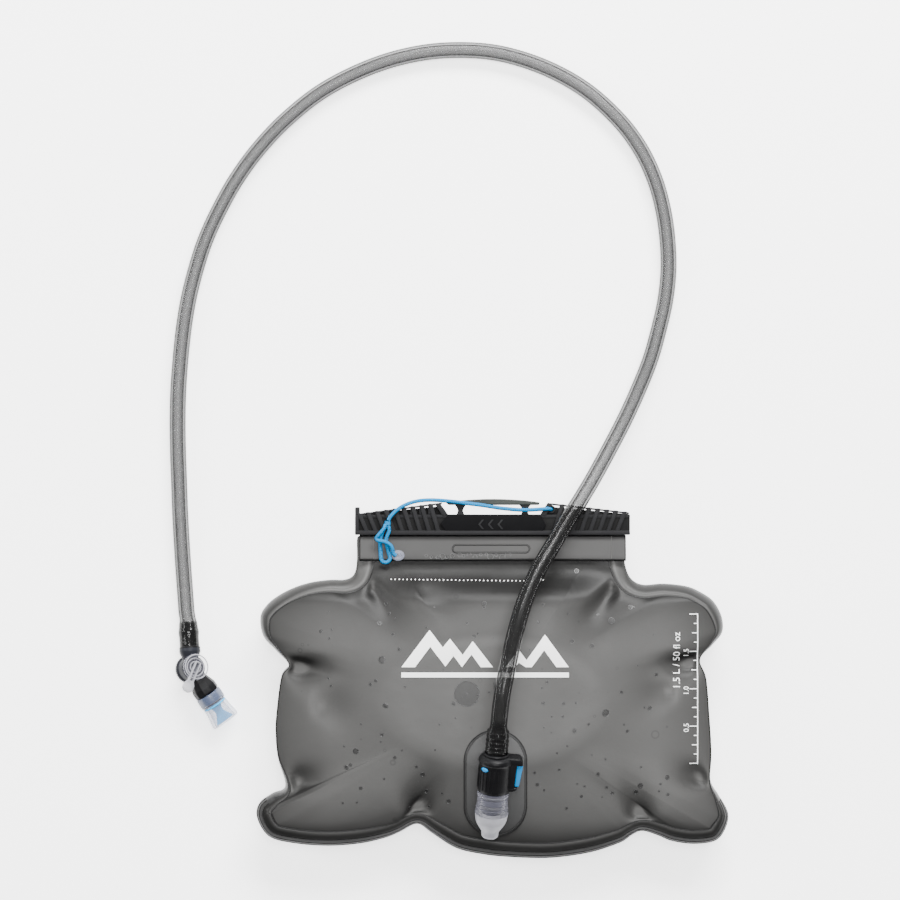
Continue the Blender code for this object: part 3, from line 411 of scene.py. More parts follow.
# Plastics: key, name, colour, roughness, how much lighter they drift, specular level and bump.
PLASTIC_LOOKS = (
    ("black", "black_plastic", (0.010, 0.010, 0.0108), 0.6, (0.004,) * 3, 0.07, 0.08),
    # A darker, less glossy copy of the black plastic for the bar's flat centre: painted shade.
    ("panel", "black_plastic_panel_shade", (0.003, 0.003, 0.0034), 0.7, (0.002,) * 3, 0.03, 0.08),
    # A darker copy of the black plastic for the slider's recesses: painted shade.
    ("recess_shade", "black_plastic_painted_shade", (0.004, 0.004, 0.004), 0.7, (0.002,) * 3, 0.1, 0.08),
    ("grip", "grip_plastic", (0.014, 0.017, 0.014), 0.55, (0.005,) * 3, 0.2, 0.08),
    ("collar", "collar_plastic", (0.0025, 0.0025, 0.003), 0.42, (0.0015,) * 3, 0.12, 0.08),
    ("plug", "plug_plastic", (0.040, 0.040, 0.060), 0.3, (0.01,) * 3, 0.3, 0.08),
    ("drum", "drum_plastic", (0.009, 0.010, 0.014), 0.4, (0.006,) * 3, 0.1, 0.08),
    ("blue", "blue_plastic", (0.0002, 0.15, 0.36), 0.5, (0.0005, 0.01, 0.02), 0.15, 0.03),
    ("blue_silicone", "blue_silicone", (0.004, 0.34, 0.66), 0.42, (0.002, 0.02, 0.03), 0.2, 0.04),
    ("rubber", "seal_rubber", (0.02, 0.02, 0.026), 0.5, (0.006,) * 3, 0.5, 0.08),
    ("bubble", "bubble_rim", (0.012, 0.012, 0.012), 0.3, (0.02,) * 3, 0.5, 0.02),
    ("print", "white_print", (0.86, 0.86, 0.85), 0.5, (0.02,) * 3, 0.5, 0.05),
)
# Clear plastics: key, name, colour, roughness, alpha and clouding.
CLEAR_LOOKS = (
    ("clear", "clear_plastic", (0.22, 0.22, 0.26), 0.12, 0.05, 0.03),
    ("frosted", "frosted_plastic", (0.34, 0.34, 0.37), 0.5, 0.5, 0.25),
    ("silicone", "clear_silicone", (0.34, 0.36, 0.46), 0.38, 0.16, 0.10),
    ("sleeve_base", "sleeve_base", (0.07, 0.09, 0.15), 0.35, 0.6, 0.2),
    ("bubble_fill", "bubble_fill", (0.010, 0.010, 0.010), 0.4, 0.30, 0.15),
)


def make_materials():
    looks = {key: film_material(name, dark, light, **settings)
             for key, name, dark, light, settings in FILM_LOOKS}
    for key, name, colour, roughness, worn, specular, depth in PLASTIC_LOOKS:
        looks[key] = plastic_material(name, colour, roughness, depth, worn, Specular_IOR_Level=specular)
    for key, *settings in CLEAR_LOOKS:
        looks[key] = clear_material(*settings)
    looks["steel"] = plastic_material("spring_steel", (0.6, 0.6, 0.6), 0.25, Metallic=1.0)
    looks["hose"] = hose_material("smoke_hose", ((0.06, 0.40), (0.38, 0.58), (0.62, 0.96)), 0.010)
    looks["cuff"] = hose_material("stretched_hose", ((0.05, 0.78), (0.4, 0.86), (0.7, 0.97)), 0.006)
    looks["cord"] = cord_material("blue_cord")
    return looks


# ---- Mesh helpers ---------------------------------------------------------------------
def new_piece(name, points, faces, look, angle=35):
    """A mesh object from points in mm."""
    mesh = bpy.data.meshes.new(name)
    mesh.from_pydata([tuple(float(part) * MM for part in point) for point in points], [], faces)
    mesh.validate()
    mesh.shade_smooth()
    mesh.set_sharp_from_angle(angle=math.radians(angle))
    mesh.materials.append(look)
    made = bpy.data.objects.new(name, mesh)
    bpy.context.scene.collection.objects.link(made)
    return made


def finish_piece(piece, body, slot, *nodes):
    """Ride a piece on its body and hide the CAD nodes it stands for. The slot argument is not used."""
    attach(piece, body)
    if nodes:
        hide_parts(*nodes)
    return piece


def join(name, pieces):
    """Join mesh objects into the first one."""
    shape = bmesh.new()
    looks = []
    for item in pieces:
        before = len(shape.faces)
        shape.from_mesh(item.data)
        shape.faces.ensure_lookup_table()
        own = list(item.data.materials)
        looks += [look for look in own if look not in looks]
        for face in shape.faces[before:]:
            face.material_index = looks.index(own[face.material_index])
    target = pieces[0]
    target.data.materials.clear()
    for look in looks:
        target.data.materials.append(look)
    shape.to_mesh(target.data)
    shape.free()
    for item in pieces[1:]:
        bpy.data.objects.remove(item, do_unlink=True)
    target.name = name
    target.data.name = name
    return target


def solidify(piece, thickness, offset=-1.0):
    modifier = piece.modifiers.new("Solidify", "SOLIDIFY")
    modifier.thickness = thickness * MM
    modifier.offset = offset
    return piece


def ease(value):
    value = np.clip(value, 0.0, 1.0)
    return value * value * (3 - 2 * value)


def mix(start, end, part):
    return start + (end - start) * part


def catmull(points, per, closed=False):
    """Points on a Catmull-Rom curve, per steps to each span; rows may hold more than a place."""
    rows = np.asarray(points, float)
    count = len(rows)
    spans = count if closed else count - 1
    made = []
    for index in range(spans):
        if closed:
            before, start, end, after = (rows[(index + step) % count] for step in (-1, 0, 1, 2))
        else:
            before, start, end, after = (rows[min(max(index + step, 0), count - 1)]
                                         for step in (-1, 0, 1, 2))
        for step in range(per):
            t = step / per
            made.append(0.5 * (2 * start + (end - before) * t
                               + (2 * before - 5 * start + 4 * end - after) * t * t
                               + (3 * start - before - 3 * end + after) * t ** 3))
    if not closed:
        made.append(rows[-1])
    return np.array(made)


def even_path(points, spacing, closed=False):
    """The same path with points at an even spacing, and the distance of each along it."""
    rows = np.asarray(points, float)
    if closed:
        rows = np.vstack([rows, rows[:1]])
    steps = np.linalg.norm(np.diff(rows, axis=0), axis=1)
    lengths = np.concatenate([[0.0], np.cumsum(steps)])
    count = max(4, int(round(lengths[-1] / spacing)))
    wanted = np.linspace(0.0, lengths[-1], count + 1)
    made = np.column_stack([np.interp(wanted, lengths, rows[:, axis]) for axis in range(rows.shape[1])])
    if closed:
        return made[:-1], wanted[:-1]
    return made, wanted


def frames_along(path, closed=False):
    """Sideways and upward directions along a path that don't twist."""
    ahead = np.roll(path, -1, axis=0) - np.roll(path, 1, axis=0)
    if not closed:
        ahead[0] = path[1] - path[0]
        ahead[-1] = path[-1] - path[-2]
    ahead /= np.linalg.norm(ahead, axis=1)[:, None]
    side = np.cross(ahead[0], (0, 0, 1))
    if np.linalg.norm(side) < 0.05:
        side = np.cross(ahead[0], (0, 1, 0))
    side /= np.linalg.norm(side)
    sides = []
    for way in ahead:
        side = side - way * np.dot(side, way)
        side /= np.linalg.norm(side)
        sides.append(side)
    sides = np.array(sides)
    return ahead, sides, np.cross(ahead, sides)


def grid_faces(rows, columns, wrap_rows=False, wrap_columns=True):
    """Quads between the points of a grid that are listed row by row."""
    faces = []
    for row in range(rows if wrap_rows else rows - 1):
        start = row * columns
        above = (row + 1) % rows * columns
        for step in range(columns if wrap_columns else columns - 1):
            other = (step + 1) % columns
            faces.append((start + step, start + other, above + other, above + step))
    return faces


def fan_faces(start, count, tip):
    """Triangles from a closed row of points to one tip."""
    return [(start + step, start + (step + 1) % count, tip) for step in range(count)]


def circle(x, y, half_x, half_y, count):
    """Places on an oval, counter-clockwise."""
    turns = np.linspace(0, 2 * math.pi, count, endpoint=False)
    return [(x + half_x * math.cos(turn), y + half_y * math.sin(turn)) for turn in turns]


def sweep(name, path, radii, look, sides=32, closed=False, bore=None, angle=50):
    """A round tube along a path in mm. With bore, one radius for each point, it is hollow."""
    path = np.asarray(path, float)
    _, across, up = frames_along(path, closed)
    turns = np.linspace(0, 2 * math.pi, sides, endpoint=False)
    circle = (np.cos(turns), np.sin(turns))
    radii = np.broadcast_to(np.asarray(radii, float), (len(path),))
    walls = [radii] if bore is None else [radii, np.broadcast_to(np.asarray(bore, float), (len(path),))]
    points = []
    faces = []
    count = len(path)
    for wall, sizes in enumerate(walls):
        ring = (path[:, None, :] + sizes[:, None, None]
                * (circle[0][None, :, None] * across[:, None, :] + circle[1][None, :, None] * up[:, None,
                                                                                                 :]))
        base = len(points)
        points += list(ring.reshape(-1, 3))
        for face in grid_faces(count, sides, wrap_rows=closed):
            face = tuple(base + index for index in face)
            faces.append(face if wall == 0 else face[::-1])
    if not closed:
        if bore is None:
            faces.append(tuple(range(sides))[::-1])
            faces.append(tuple((count - 1) * sides + step for step in range(sides)))
        else:
            inner = count * sides
            last = (count - 1) * sides
            for step in range(sides):
                other = (step + 1) % sides
                faces.append((step, inner + step, inner + other, other))
                faces.append((last + step, last + other, inner + last + other, inner + last + step))
    return new_piece(name, points, faces, look, angle)


def round_profile(profile, radius=0.25, steps=3):
    """A profile whose corners are cut and rounded, for soft moulded edges."""
    rows = np.asarray(profile, float)
    made = [rows[0]]
    for before, corner, after in zip(rows, rows[1:], rows[2:]):
        first = before - corner
        second = after - corner
        cut = min(radius, np.linalg.norm(first) * 0.4, np.linalg.norm(second) * 0.4)
        if cut < 0.02 or corner[0] < 0.01:
            made.append(corner)
            continue
        start = corner + first / np.linalg.norm(first) * cut
        end = corner + second / np.linalg.norm(second) * cut
        for step in range(steps + 1):
            t = step / steps
            made.append((1 - t) ** 2 * start + 2 * t * (1 - t) * corner + t * t * end)
    made.append(rows[-1])
    return np.array(made)


def turned(name, profile, place, look, closed=False, steps=72, rounding=0.25, angle=50):
    """A turned piece round the frame's Z from (radius, height) pairs, outer side downwards."""
    rows = [tuple(row) for row in profile]
    if closed:
        rows.append(rows[0])
        rows.append(rows[1])
        rows = round_profile(rows, rounding)[1:-1] if rounding else np.array(rows[:-1])
        rows = rows[:-1] if np.linalg.norm(rows[0] - rows[-1]) < 1e-6 else rows
    else:
        rows = round_profile(rows, rounding) if rounding else np.array(rows)
    points = []
    faces = []
    starts = []
    for radius, height in rows:
        starts.append(len(points))
        if radius < 1e-4:
            points.append(place @ Vector((0, 0, height)))
            continue
        for step in range(steps):
            turn = 2 * math.pi * step / steps
            points.append(place @ Vector((radius * math.cos(turn), radius * math.sin(turn), height)))
    count = len(rows)
    for index in range(count if closed else count - 1):
        after = (index + 1) % count
        first, second = starts[index], starts[after]
        single_first = rows[index][0] < 1e-4
        single_second = rows[after][0] < 1e-4
        if single_first and single_second:
            continue
        for step in range(steps):
            other = (step + 1) % steps
            if single_first:
                faces.append((first, second + step, second + other))
            elif single_second:
                faces.append((first + step, second, first + other))
            else:
                faces.append((first + step, second + step, second + other, first + other))
    return new_piece(name, points, faces, look, angle)


def prism(name, outline, low, high, look, edge=0.35, place=None, segments=2):
    """A flat outline in mm extruded from low to high, with rounded edges."""
    shape = bmesh.new()
    bottom = [shape.verts.new((x, y, low)) for x, y in outline]
    top = [shape.verts.new((x, y, high)) for x, y in outline]
    shape.faces.new(bottom[::-1])
    shape.faces.new(top)
    for index in range(len(outline)):
        after = (index + 1) % len(outline)
        shape.faces.new((bottom[index], bottom[after], top[after], top[index]))
    bmesh.ops.recalc_face_normals(shape, faces=shape.faces)
    if edge:
        sharp = [item for item in shape.edges if item.calc_face_angle(0) > 0.35]
        bmesh.ops.bevel(shape, geom=sharp, offset=edge, segments=segments, profile=0.6, affect="EDGES")
    points = [(place @ vertex.co) if place else vertex.co.copy() for vertex in shape.verts]
    shape.verts.index_update()
    faces = [tuple(vertex.index for vertex in face.verts) for face in shape.faces]
    shape.free()
    return new_piece(name, points, faces, look, 45)


def axis_frame(origin, axis, side):
    """A matrix in mm whose Z runs along axis and whose X lies towards side."""
    up = axis.normalized()
    across = (side - up * side.dot(up)).normalized()
    turn = Matrix((across, up.cross(across), up)).transposed()
    return Matrix.Translation(origin) @ turn.to_4x4()


def port_place(distance=0.0):
    flat = math.cos(PORT_TILT)
    along = Vector((math.sin(PORT_LEAN) * flat, math.cos(PORT_LEAN) * flat, math.sin(PORT_TILT)))
    return axis_frame(Vector(PORT_NOSE) + along * distance, along, Vector((1, 0, 0)))


def port_foot_place():
    place = port_place(14.0).to_3x3()
    along, across = place @ Vector((0, 0, 1)), place @ Vector((1, 0, 0))
    up = across.cross(along)
    if up.z < 0:
        up = -up
    return axis_frame(port_place(14.0).translation, up, across)


def valve_place(axis, side=None):
    return axis_frame(Vector(VALVE_CENTRE), axis, side or VALVE_AXIS)


# ---- The film bag ---------------------------------------------------------------------
OUTLINE_STEPS = 7                 # steps of the outline to each span
FRONT_RING_COUNT, BACK_RING_COUNT = 46, 24
FOOT_LINES_Y = -68.0              # the gusset's fine weld lines run below this y
NECK_WELD_X = 67.0                # half width between the welds at the neck


def neck_share(y):
    return ease((y - NECK_START) / (NECK_END - NECK_START))


def neck_half(y):
    return mix(NECK_HALF, MOUTH_HALF, np.clip((y - NECK_END) / (MOUTH_Y - NECK_END), 0, 1))


def weld_height(y, front):
    side = 1 if front else -1
    body = CREASE_FRONT if front else CREASE_BACK
    return mix(body, NECK_MIDDLE + side * neck_half(y), neck_share(y))


def bag_lines():
    """The outline, the weld inside it, both in plan, at a fine spacing."""
    rows = []
    for _, inset, stretch in OUTLINE:
        rows += [(x, y, inset) for x, y in stretch]
    rows = np.array(rows)
    for _ in range(2):
        around = np.concatenate([rows[:1, 2], rows[:, 2], rows[-1:, 2]])
        rows[:, 2] = (around[:-2] + 2 * around[1:-1] + around[2:]) / 4
    fine = catmull(rows, OUTLINE_STEPS)
    outline = fine[:, :2]
    along = np.zeros_like(outline)
    along[1:-1] = outline[2:] - outline[:-2]
    along[0] = outline[1] - outline[0]
    along[-1] = outline[-1] - outline[-2]
    for _ in range(10):
        padded = np.vstack([along[:1], along, along[-1:]])
        along = (padded[:-2] + 2 * padded[1:-1] + padded[2:]) / 4
    inward = np.column_stack([-along[:, 1], along[:, 0]])
    inward /= np.linalg.norm(inward, axis=1)[:, None]
    weld = outline + inward * fine[:, 2:3]
    straight = np.column_stack([np.sign(outline[:, 0]) * NECK_WELD_X, outline[:, 1]])
    share = ease((outline[:, 1] - NECK_END) / 5.0)[:, None]
    return outline, mix(weld, straight, share)


# Soft valleys pressed into the front film: x, y, direction in degrees, depth, length, width in mm.
FOLDS = (
    (-43.2, -80.0, 78, 6.5, 24, 6.0), (-43.2, -80.0, 112, 2.5, 20, 4.5),
    (85.0, -84.0, 103, 6.0, 26, 6.0), (85.0, -84.0, 70, 2.5, 18, 4.5),
    (-118.0, 8.5, -4, 6.0, 20, 4.5), (-118.0, 8.5, -34, 3.0, 26, 6.0),
    (-119.5, -61.0, 16, 5.0, 17, 5.0), (-119.5, -61.0, 44, 2.0, 14, 4.0),
    (119.5, 11.0, 186, 5.5, 20, 4.5), (119.5, 11.0, 212, 2.5, 20, 5.0),
    (125.0, -57.6, 168, 4.5, 16, 5.0), (125.0, -57.6, 142, 2.0, 14, 4.0),
    (-70.0, 54.0, -52, 4.5, 20, 5.5), (70.0, 54.0, 232, 5.0, 22, 5.5),
    (-98.0, -14.0, 0, 2.2, 16, 12.0), (100.0, -6.0, 180, 2.4, 16, 10.0),
    (-40.0, 50.0, -12, 2.2, 18, 5.0), (0.0, 56.0, 0, 1.2, 40, 4.0),
)


def fold_depth(x, y):
    """How far the folds press the film down at a place."""
    total = np.zeros_like(x)
    for fold_x, fold_y, way, depth, length, width in FOLDS:
        turn = math.radians(way)
        ahead = (x - fold_x) * math.cos(turn) + (y - fold_y) * math.sin(turn)
        aside = -(x - fold_x) * math.sin(turn) + (y - fold_y) * math.cos(turn)
        wide = width * (0.55 + 0.9 * np.clip(ahead / length, 0, 2))
        reach = np.where(ahead > 0, np.exp(-(ahead / length) ** 2), np.exp(-(ahead / (0.3 * width)) ** 2))
        total += depth * reach * np.exp(-(aside / wide) ** 2)
    return total


def ring_fractions(count):
    """Ring places from the weld to the centre, close together at the weld."""
    inner = (np.arange(1, count + 1) / (count + 1)) ** 1.35
    return np.concatenate([[0.0], inner])


def panel_points(front, fractions):
    _, weld = bag_lines()
    mouth = np.column_stack([np.linspace(weld[-1, 0], weld[0, 0], 62)[1:-1], np.full(60, MOUTH_Y)])
    edge = np.vstack([weld, mouth])
    centre = np.array(BODY_CENTRE)
    ray = edge - centre
    turn = np.arctan2(ray[:, 1] / INNER_OVAL[1], ray[:, 0] / INNER_OVAL[0])
    oval = np.column_stack([INNER_OVAL[0] * np.cos(turn), INNER_OVAL[1] * np.sin(turn)])
    rings = []
    for fraction in fractions:
        rounding = ease(fraction / 0.36)
        place = centre + mix(ray, oval, rounding) * (1 - fraction)
        rings.append(np.column_stack([place, panel_height(place[:, 0], place[:, 1], fraction, front)]))
    tip = np.array([*centre, panel_height(centre[:1], centre[1:], 1.0, front)[0]])
    return rings, tip


def panel_height(x, y, fraction, front):
    full = FRONT_SWELL if front else BACK_SWELL
    swell = math.sin(min(1.0, fraction / full) * math.pi / 2)
    if not front:
        return weld_height(y, False) * (1 - swell * (1 - neck_share(y)))
    dome = FRONT_DOME * (1 - neck_share(y)) * swell
    pressed = fold_depth(x, y) * ease(fraction / 0.05) * (1 - 0.85 * neck_share(y))
    return weld_height(y, True) + dome - np.minimum(pressed, 2.0 + dome * 0.8)


def film_panel(name, look, front):
    fractions = ring_fractions(FRONT_RING_COUNT if front else BACK_RING_COUNT)
    rings, tip = panel_points(front, fractions)
    count = len(rings[0])
    points = [point for ring in rings for point in ring] + [tip]
    faces = grid_faces(len(rings), count)
    faces += fan_faces((len(rings) - 1) * count, count, len(points) - 1)
    if not front:
        faces = [face[::-1] for face in faces]
    return new_piece(name, points, faces, look, 80)


GUSSET_ROWS = 17


def gusset_row(share, outline, weld, lift=0.0):
    """Points of the gusset at a share of the way from the front weld to the back one."""
    out = math.sin(math.pi * share) ** 0.62
    place = mix(weld, outline, out)
    y = outline[:, 1]
    middle = mix(BODY_MIDDLE, NECK_MIDDLE, neck_share(y))
    top, bottom = weld_height(y, True), weld_height(y, False)
    height = mix(top, middle, share * 2) if share < 0.5 else mix(middle, bottom, share * 2 - 1)
    if lift:
        away = outline - weld
        size = np.maximum(np.linalg.norm(away, axis=1)[:, None], 1e-6)
        place = place + away / size * lift * out
        height = height + lift * (1 if share < 0.5 else -1) * (1 - out * 0.5)
    return np.column_stack([place, height])


def make_gusset(look):
    outline, weld = bag_lines()
    rows = [gusset_row(step / (GUSSET_ROWS - 1), outline, weld) for step in range(GUSSET_ROWS)]
    faces = [(a, d, c, b) for a, b, c, d in grid_faces(GUSSET_ROWS, len(outline), wrap_columns=False)]
    return new_piece("gusset_film", [point for row in rows for point in row], faces, look, 80)


# Seams and fine weld lines: name, share of the way from the front weld to the back one, radius, look.
BAG_LINES = (
    ("front_weld_seam", 0.0, 0.3, "seam"),
    ("back_weld_seam", 1.0, 0.4, "seam"),
    ("gusset_weld_line_1", 0.13, 0.2, "weld_line"),
    ("gusset_weld_line_2", 0.24, 0.2, "weld_line"),
    ("gusset_weld_line_3", 0.36, 0.2, "weld_line"),
)


def make_bag(looks):
    front = film_panel("front_film", looks["film"], True)
    tree = BVHTree.FromPolygons([vertex.co / MM for vertex in front.data.vertices],
                                [tuple(face.vertices) for face in front.data.polygons])
    solidify(front, FILM)
    finish_piece(front, "reservoir", "film", "front_panel")
    back = solidify(film_panel("back_film", looks["film"], False), FILM)
    finish_piece(back, "reservoir", "film", "back_panel")
    side = solidify(make_gusset(looks["gusset"]), FILM)
    finish_piece(side, "reservoir", "film", "gusset")
    outline, weld = bag_lines()
    foot = np.flatnonzero(outline[:, 1] < FOOT_LINES_Y)
    for name, share, radius, look in BAG_LINES:
        if look == "seam":
            line = np.column_stack([weld, weld_height(outline[:, 1], share == 0.0)])
        else:
            line = gusset_row(share, outline, weld, 0.05)[foot[0]:foot[-1] + 1]
        path, _ = even_path(line, 1.6)
        finish_piece(sweep(name, path, radius, looks[look], 8), "reservoir", "film")
    return tree


# ---- Small builders -------------------------------------------------------------------
def block(name, low, high, look, edge=0.4, place=None):
    outline = ((low[0], low[1]), (high[0], low[1]), (high[0], high[1]), (low[0], high[1]))
    return prism(name, outline, low[2], high[2], look, edge, place)


def ring(name, radius, height, thick, place, look, steps=64):
    """A thin round ring about the frame's Z."""
    path = [place @ Vector((*spot, height)) for spot in circle(0, 0, radius, radius, steps)]
    return sweep(name, np.array(path), thick, look, 12, closed=True)


def lofted(name, look, place, sections, steps=64, per=4):
    """A closed wall lofted through oval sections (height, half across X, half across Y)."""
    outer, inner = (catmull(np.array(group), per) for group in sections)
    walls = np.vstack([outer, inner[::-1]])
    points = []
    for height, half_x, half_y in walls:
        points += [place @ Vector((*spot, height)) for spot in circle(0, 0, half_x, half_y, steps)]
    return new_piece(name, points, grid_faces(len(walls), steps, wrap_rows=True), look, 45)


def paint(piece, look, test):
    """Give a second material to the faces whose centre, in mm, passes the test."""
    piece.data.materials.append(look)
    index = len(piece.data.materials) - 1
    for face in piece.data.polygons:
        if test(face.center / MM):
            face.material_index = index


def drop(tree, x, y, lift=0.0):
    """The place straight above (x, y) on the front film, raised by lift."""
    hit = tree.ray_cast(Vector((x, y, 80.0)), Vector((0, 0, -1)))
    height = hit[0].z if hit[0] is not None else weld_height(y, True)
    return Vector((x, y, height + lift))


# ---- Hose and tether ------------------------------------------------------------------
# Where the hose is stretched over its two barbs: (distance along the barb's axis, radius).
PORT_STRETCH = (
    (51.9, 6.0), (52.4, 6.4), (54.4, 6.3), (55.6, 6.15), (56.6, 6.45), (57.6, 6.2), (59.2, 6.1),
    (60.6, 6.1), (61.6, 6.4), (62.6, 6.1), (64.2, 5.6), (65.8, 5.1), (67.8, 4.75),
)
VALVE_STRETCH = (
    (28.4, 4.75), (27.2, 5.2), (25.0, 5.45), (22.8, 5.7), (21.4, 6.0), (20.6, 6.1), (20.0, 5.85),
    (18.2, 5.7), (15.6, 5.7), (13.2, 5.75), (12.2, 5.6),
)
PORT_BARB, VALVE_BARB, BARB_BORE = 14.0, 14.5, 4.02     # length of hose on each barb, its bore there
CUFF_REACH = 8.0                                        # how far from a barb's axis its cuff lies


def make_hose(looks):
    """The hose in one piece, stretched over the barb at each end."""
    rows = [(*(port_place(distance).translation), radius) for distance, radius in PORT_STRETCH]
    middle = catmull(np.array(HOSE_ROUTE), 8)
    rows += [(*point, HOSE_RADIUS) for point in middle[3:-3]]
    rows += [(*(Vector(VALVE_CENTRE) + VALVE_INLET * distance), radius)
             for distance, radius in VALVE_STRETCH]
    rows = np.array(rows)
    path, along = even_path(rows, 1.0)
    centre, radii = path[:, :3], path[:, 3]
    for _ in range(3):
        centre[1:-1] = (centre[:-2] + 2 * centre[1:-1] + centre[2:]) / 4
    total = along[-1]
    on_barb = (along < PORT_BARB) | (total - along < VALVE_BARB)
    bore = np.where(on_barb, BARB_BORE, HOSE_BORE)
    for _ in range(3):
        bore[1:-1] = (bore[:-2] + 2 * bore[1:-1] + bore[2:]) / 4
    hose = sweep("hose_tube", centre, radii, looks["hose"], 48, bore=bore, angle=60)
    for frame_at, last in ((port_place(), 68.0), (valve_place(VALVE_INLET), 27.0)):
        back = frame_at.inverted()
        paint(hose, looks["cuff"],
              lambda centre: (back @ centre).z < last and (back @ centre).xy.length < CUFF_REACH)
    finish_piece(hose, "hose_assembly", "tube", "drinking_hose", "hose_end_plug", "hose_end_valve")
    barb_rings = [ring("barb_ring_%d" % number, 6.05 - 0.12 * max(0, number - 2), 53.4 + 2.7 * number, 0.5,
                       port_place(), looks["cuff"], 48) for number in range(5)]
    finish_piece(join("hose_barb_rings", barb_rings), "hose_assembly", "tube")
    return hose, centre, total * MM


def make_tether(looks):
    """The slide's cord to its hitch, and the hitch's loop through the eyelet."""
    strand, _ = even_path(catmull(np.array(TETHER_ROUTE), 12), 0.8)
    cord = sweep("tether_strand", strand, TETHER_RADIUS, looks["cord"], 20)
    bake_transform(cord)
    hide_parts("tether_cord")
    loop, _ = even_path(catmull(np.array(LOOP_ROUTE), 12, closed=True), 0.8, closed=True)
    hitch = [sweep("tether_hitch_loop", loop, TETHER_RADIUS, looks["cord"], 20, closed=True)]
    cross = ((-61.3, 88.6, 31.6), (-62.0, 86.4, 32.6), (-65.2, 82.6, 32.2), (-66.4, 80.6, 31.4),
             (-64.8, 79.4, 32.2), (-61.4, 78.8, 32.6), (-58.4, 76.8, 32.0), (-57.2, 74.2, 30.9),
             (-56.6, 72.0, 30.2), (-55.2, 70.9, 29.9))
    path, _ = even_path(catmull(np.array(cross), 10), 0.7)
    hitch.append(sweep("tether_cross_strand", path, TETHER_RADIUS, looks["cord"], 20))
    whipping = [(-59.9, 90.6, 31.0), (-60.1, 88.4, 31.0)]
    path, _ = even_path(catmull(np.array(whipping), 4), 0.5)
    hitch.append(sweep("tether_hitch_knot", path, 1.75, looks["cord"], 20))
    finish_piece(join("tether_hitch", hitch), "reservoir", "cord", "tether_loop")


# ---- Neck of the bag ------------------------------------------------------------------
def band_height(y, front):
    side = 1 if front else -1
    return NECK_MIDDLE + side * (neck_half(np.array([y]))[0] + BAND_LIFT)


def neck_band(name, look, front):
    """The stiffer strip over the neck, with a slight ripple along its free lower edge."""
    columns = np.linspace(-BAND_X, BAND_X, 154)
    rows = np.linspace(*BAND_Y, 15)
    side = 1 if front else -1
    points = []
    for y in rows:
        for x in columns:
            low = 1 - ease((y - BAND_Y[0]) / 5.0)
            ripple = 0.28 * math.sin(x * 0.19 + 0.6) * math.sin(x * 0.043) * low
            end = 0.9 * ease(np.array([(abs(x) - 66.0) / 8.0]))[0]
            points.append((x, y + 0.25 * math.sin(x * 0.05) * low,
                           band_height(y, front) + side * (ripple + end * 0.4)))
    faces = grid_faces(len(rows), len(columns), wrap_columns=False)
    if not front:
        faces = [face[::-1] for face in faces]
    made = new_piece(name, points, faces, look, 60)
    return solidify(made, BAND_THICK, 1)


EMBOSS_CENTRE, EMBOSS_HALF, EMBOSS_RADIUS = (-0.9, 74.75), 19.8, 2.2     # the long oval on the band
BAND_SEAM_X = 68.0


def make_neck(looks):
    front = neck_band("neck_band_front_film", looks["band"], True)
    finish_piece(front, "reservoir", "band_film", "neck_band_front")
    back = neck_band("neck_band_back_film", looks["band"], False)
    finish_piece(back, "reservoir", "band_film", "neck_band_back")
    fold = block("mouth_bead", (-75.8, 85.95, NECK_MIDDLE - 4.4), (75.4, 91.8, NECK_MIDDLE + 4.4),
                 looks["band"], 1.8)
    finish_piece(fold, "reservoir", "band_film", "mouth_fold")
    oval = []
    for turn in np.linspace(0, 2 * math.pi, 96, endpoint=False):
        end = EMBOSS_HALF if math.cos(turn) > 0 else -EMBOSS_HALF
        x = EMBOSS_CENTRE[0] + EMBOSS_RADIUS * math.cos(turn) + end
        y = EMBOSS_CENTRE[1] + EMBOSS_RADIUS * math.sin(turn)
        oval.append((x, y, band_height(y, True) + BAND_THICK - 0.05))
    path, _ = even_path(np.array(oval), 0.8, closed=True)
    emboss = [sweep("band_emboss", path, 0.5, looks["band"], 12, closed=True)]
    for number, x in enumerate((-BAND_SEAM_X, BAND_SEAM_X)):
        lines = [(x, y, band_height(y, True) + BAND_THICK - 0.06) for y in (69.0, 73.0, 78.0, 82.0)]
        path, _ = even_path(catmull(np.array(lines), 6), 0.8)
        emboss.append(sweep("band_end_seam_%d" % number, path, 0.3, looks["gusset"], 8))
    finish_piece(join("neck_band_emboss", emboss), "reservoir", "band_film")
    # Painted shadow: a thin near-black line along the band's free lower edge, in the weld line's material.
    edge = [(x, BAND_Y[0] + 0.1, band_height(BAND_Y[0], True) + BAND_THICK * 0.6) for x in
            np.linspace(-BAND_X, BAND_X, 120)]
    finish_piece(sweep("neck_band_lower_edge", np.array(edge), 0.5, looks["weld_line"], 8), "reservoir",
                 "band_film")


def make_eyelet(looks):
    low = NECK_MIDDLE + NECK_HALF + BAND_LIFT + BAND_THICK
    outer = [(*spot, low + 0.9) for spot in circle(-54.2, 70.9, 3.0, 2.3, 40)]
    bead = sweep("eyelet_bead", np.array(outer), 0.75, looks["silicone"], 14, closed=True)
    inner = [(*spot, low + 1.2) for spot in circle(-54.6, 70.9, 1.6, 1.5, 40)]
    hole = sweep("eyelet_ring", np.array(inner), 0.5, looks["silicone"], 12, closed=True)
    tab = prism("eyelet_tab", [(x - 0.4, y) for x, y, _ in outer], low + 0.05, low + 0.7,
                looks["silicone"], 0.2)
    finish_piece(join("tether_eyelet_tab", [bead, hole, tab]), "reservoir", "clear_plastic",
                 "tether_eyelet")


# ---- Slide seal -----------------------------------------------------------------------
def wing_top(x):
    """Height in y of the wing's sloping edge at x."""
    if x < 0:
        return mix(100.9, 94.8, (-30.4 - x) / 45.5)
    return mix(100.9, 95.4, (x - 31.7) / 46.9)


WING_RIBS = ((-76.0, -29.0, 1), (33.0, 78.2, -1))       # from x, to x, lean of the ribs' feet
RIB_STEP, RIB_WIDE = 5.1, 2.5


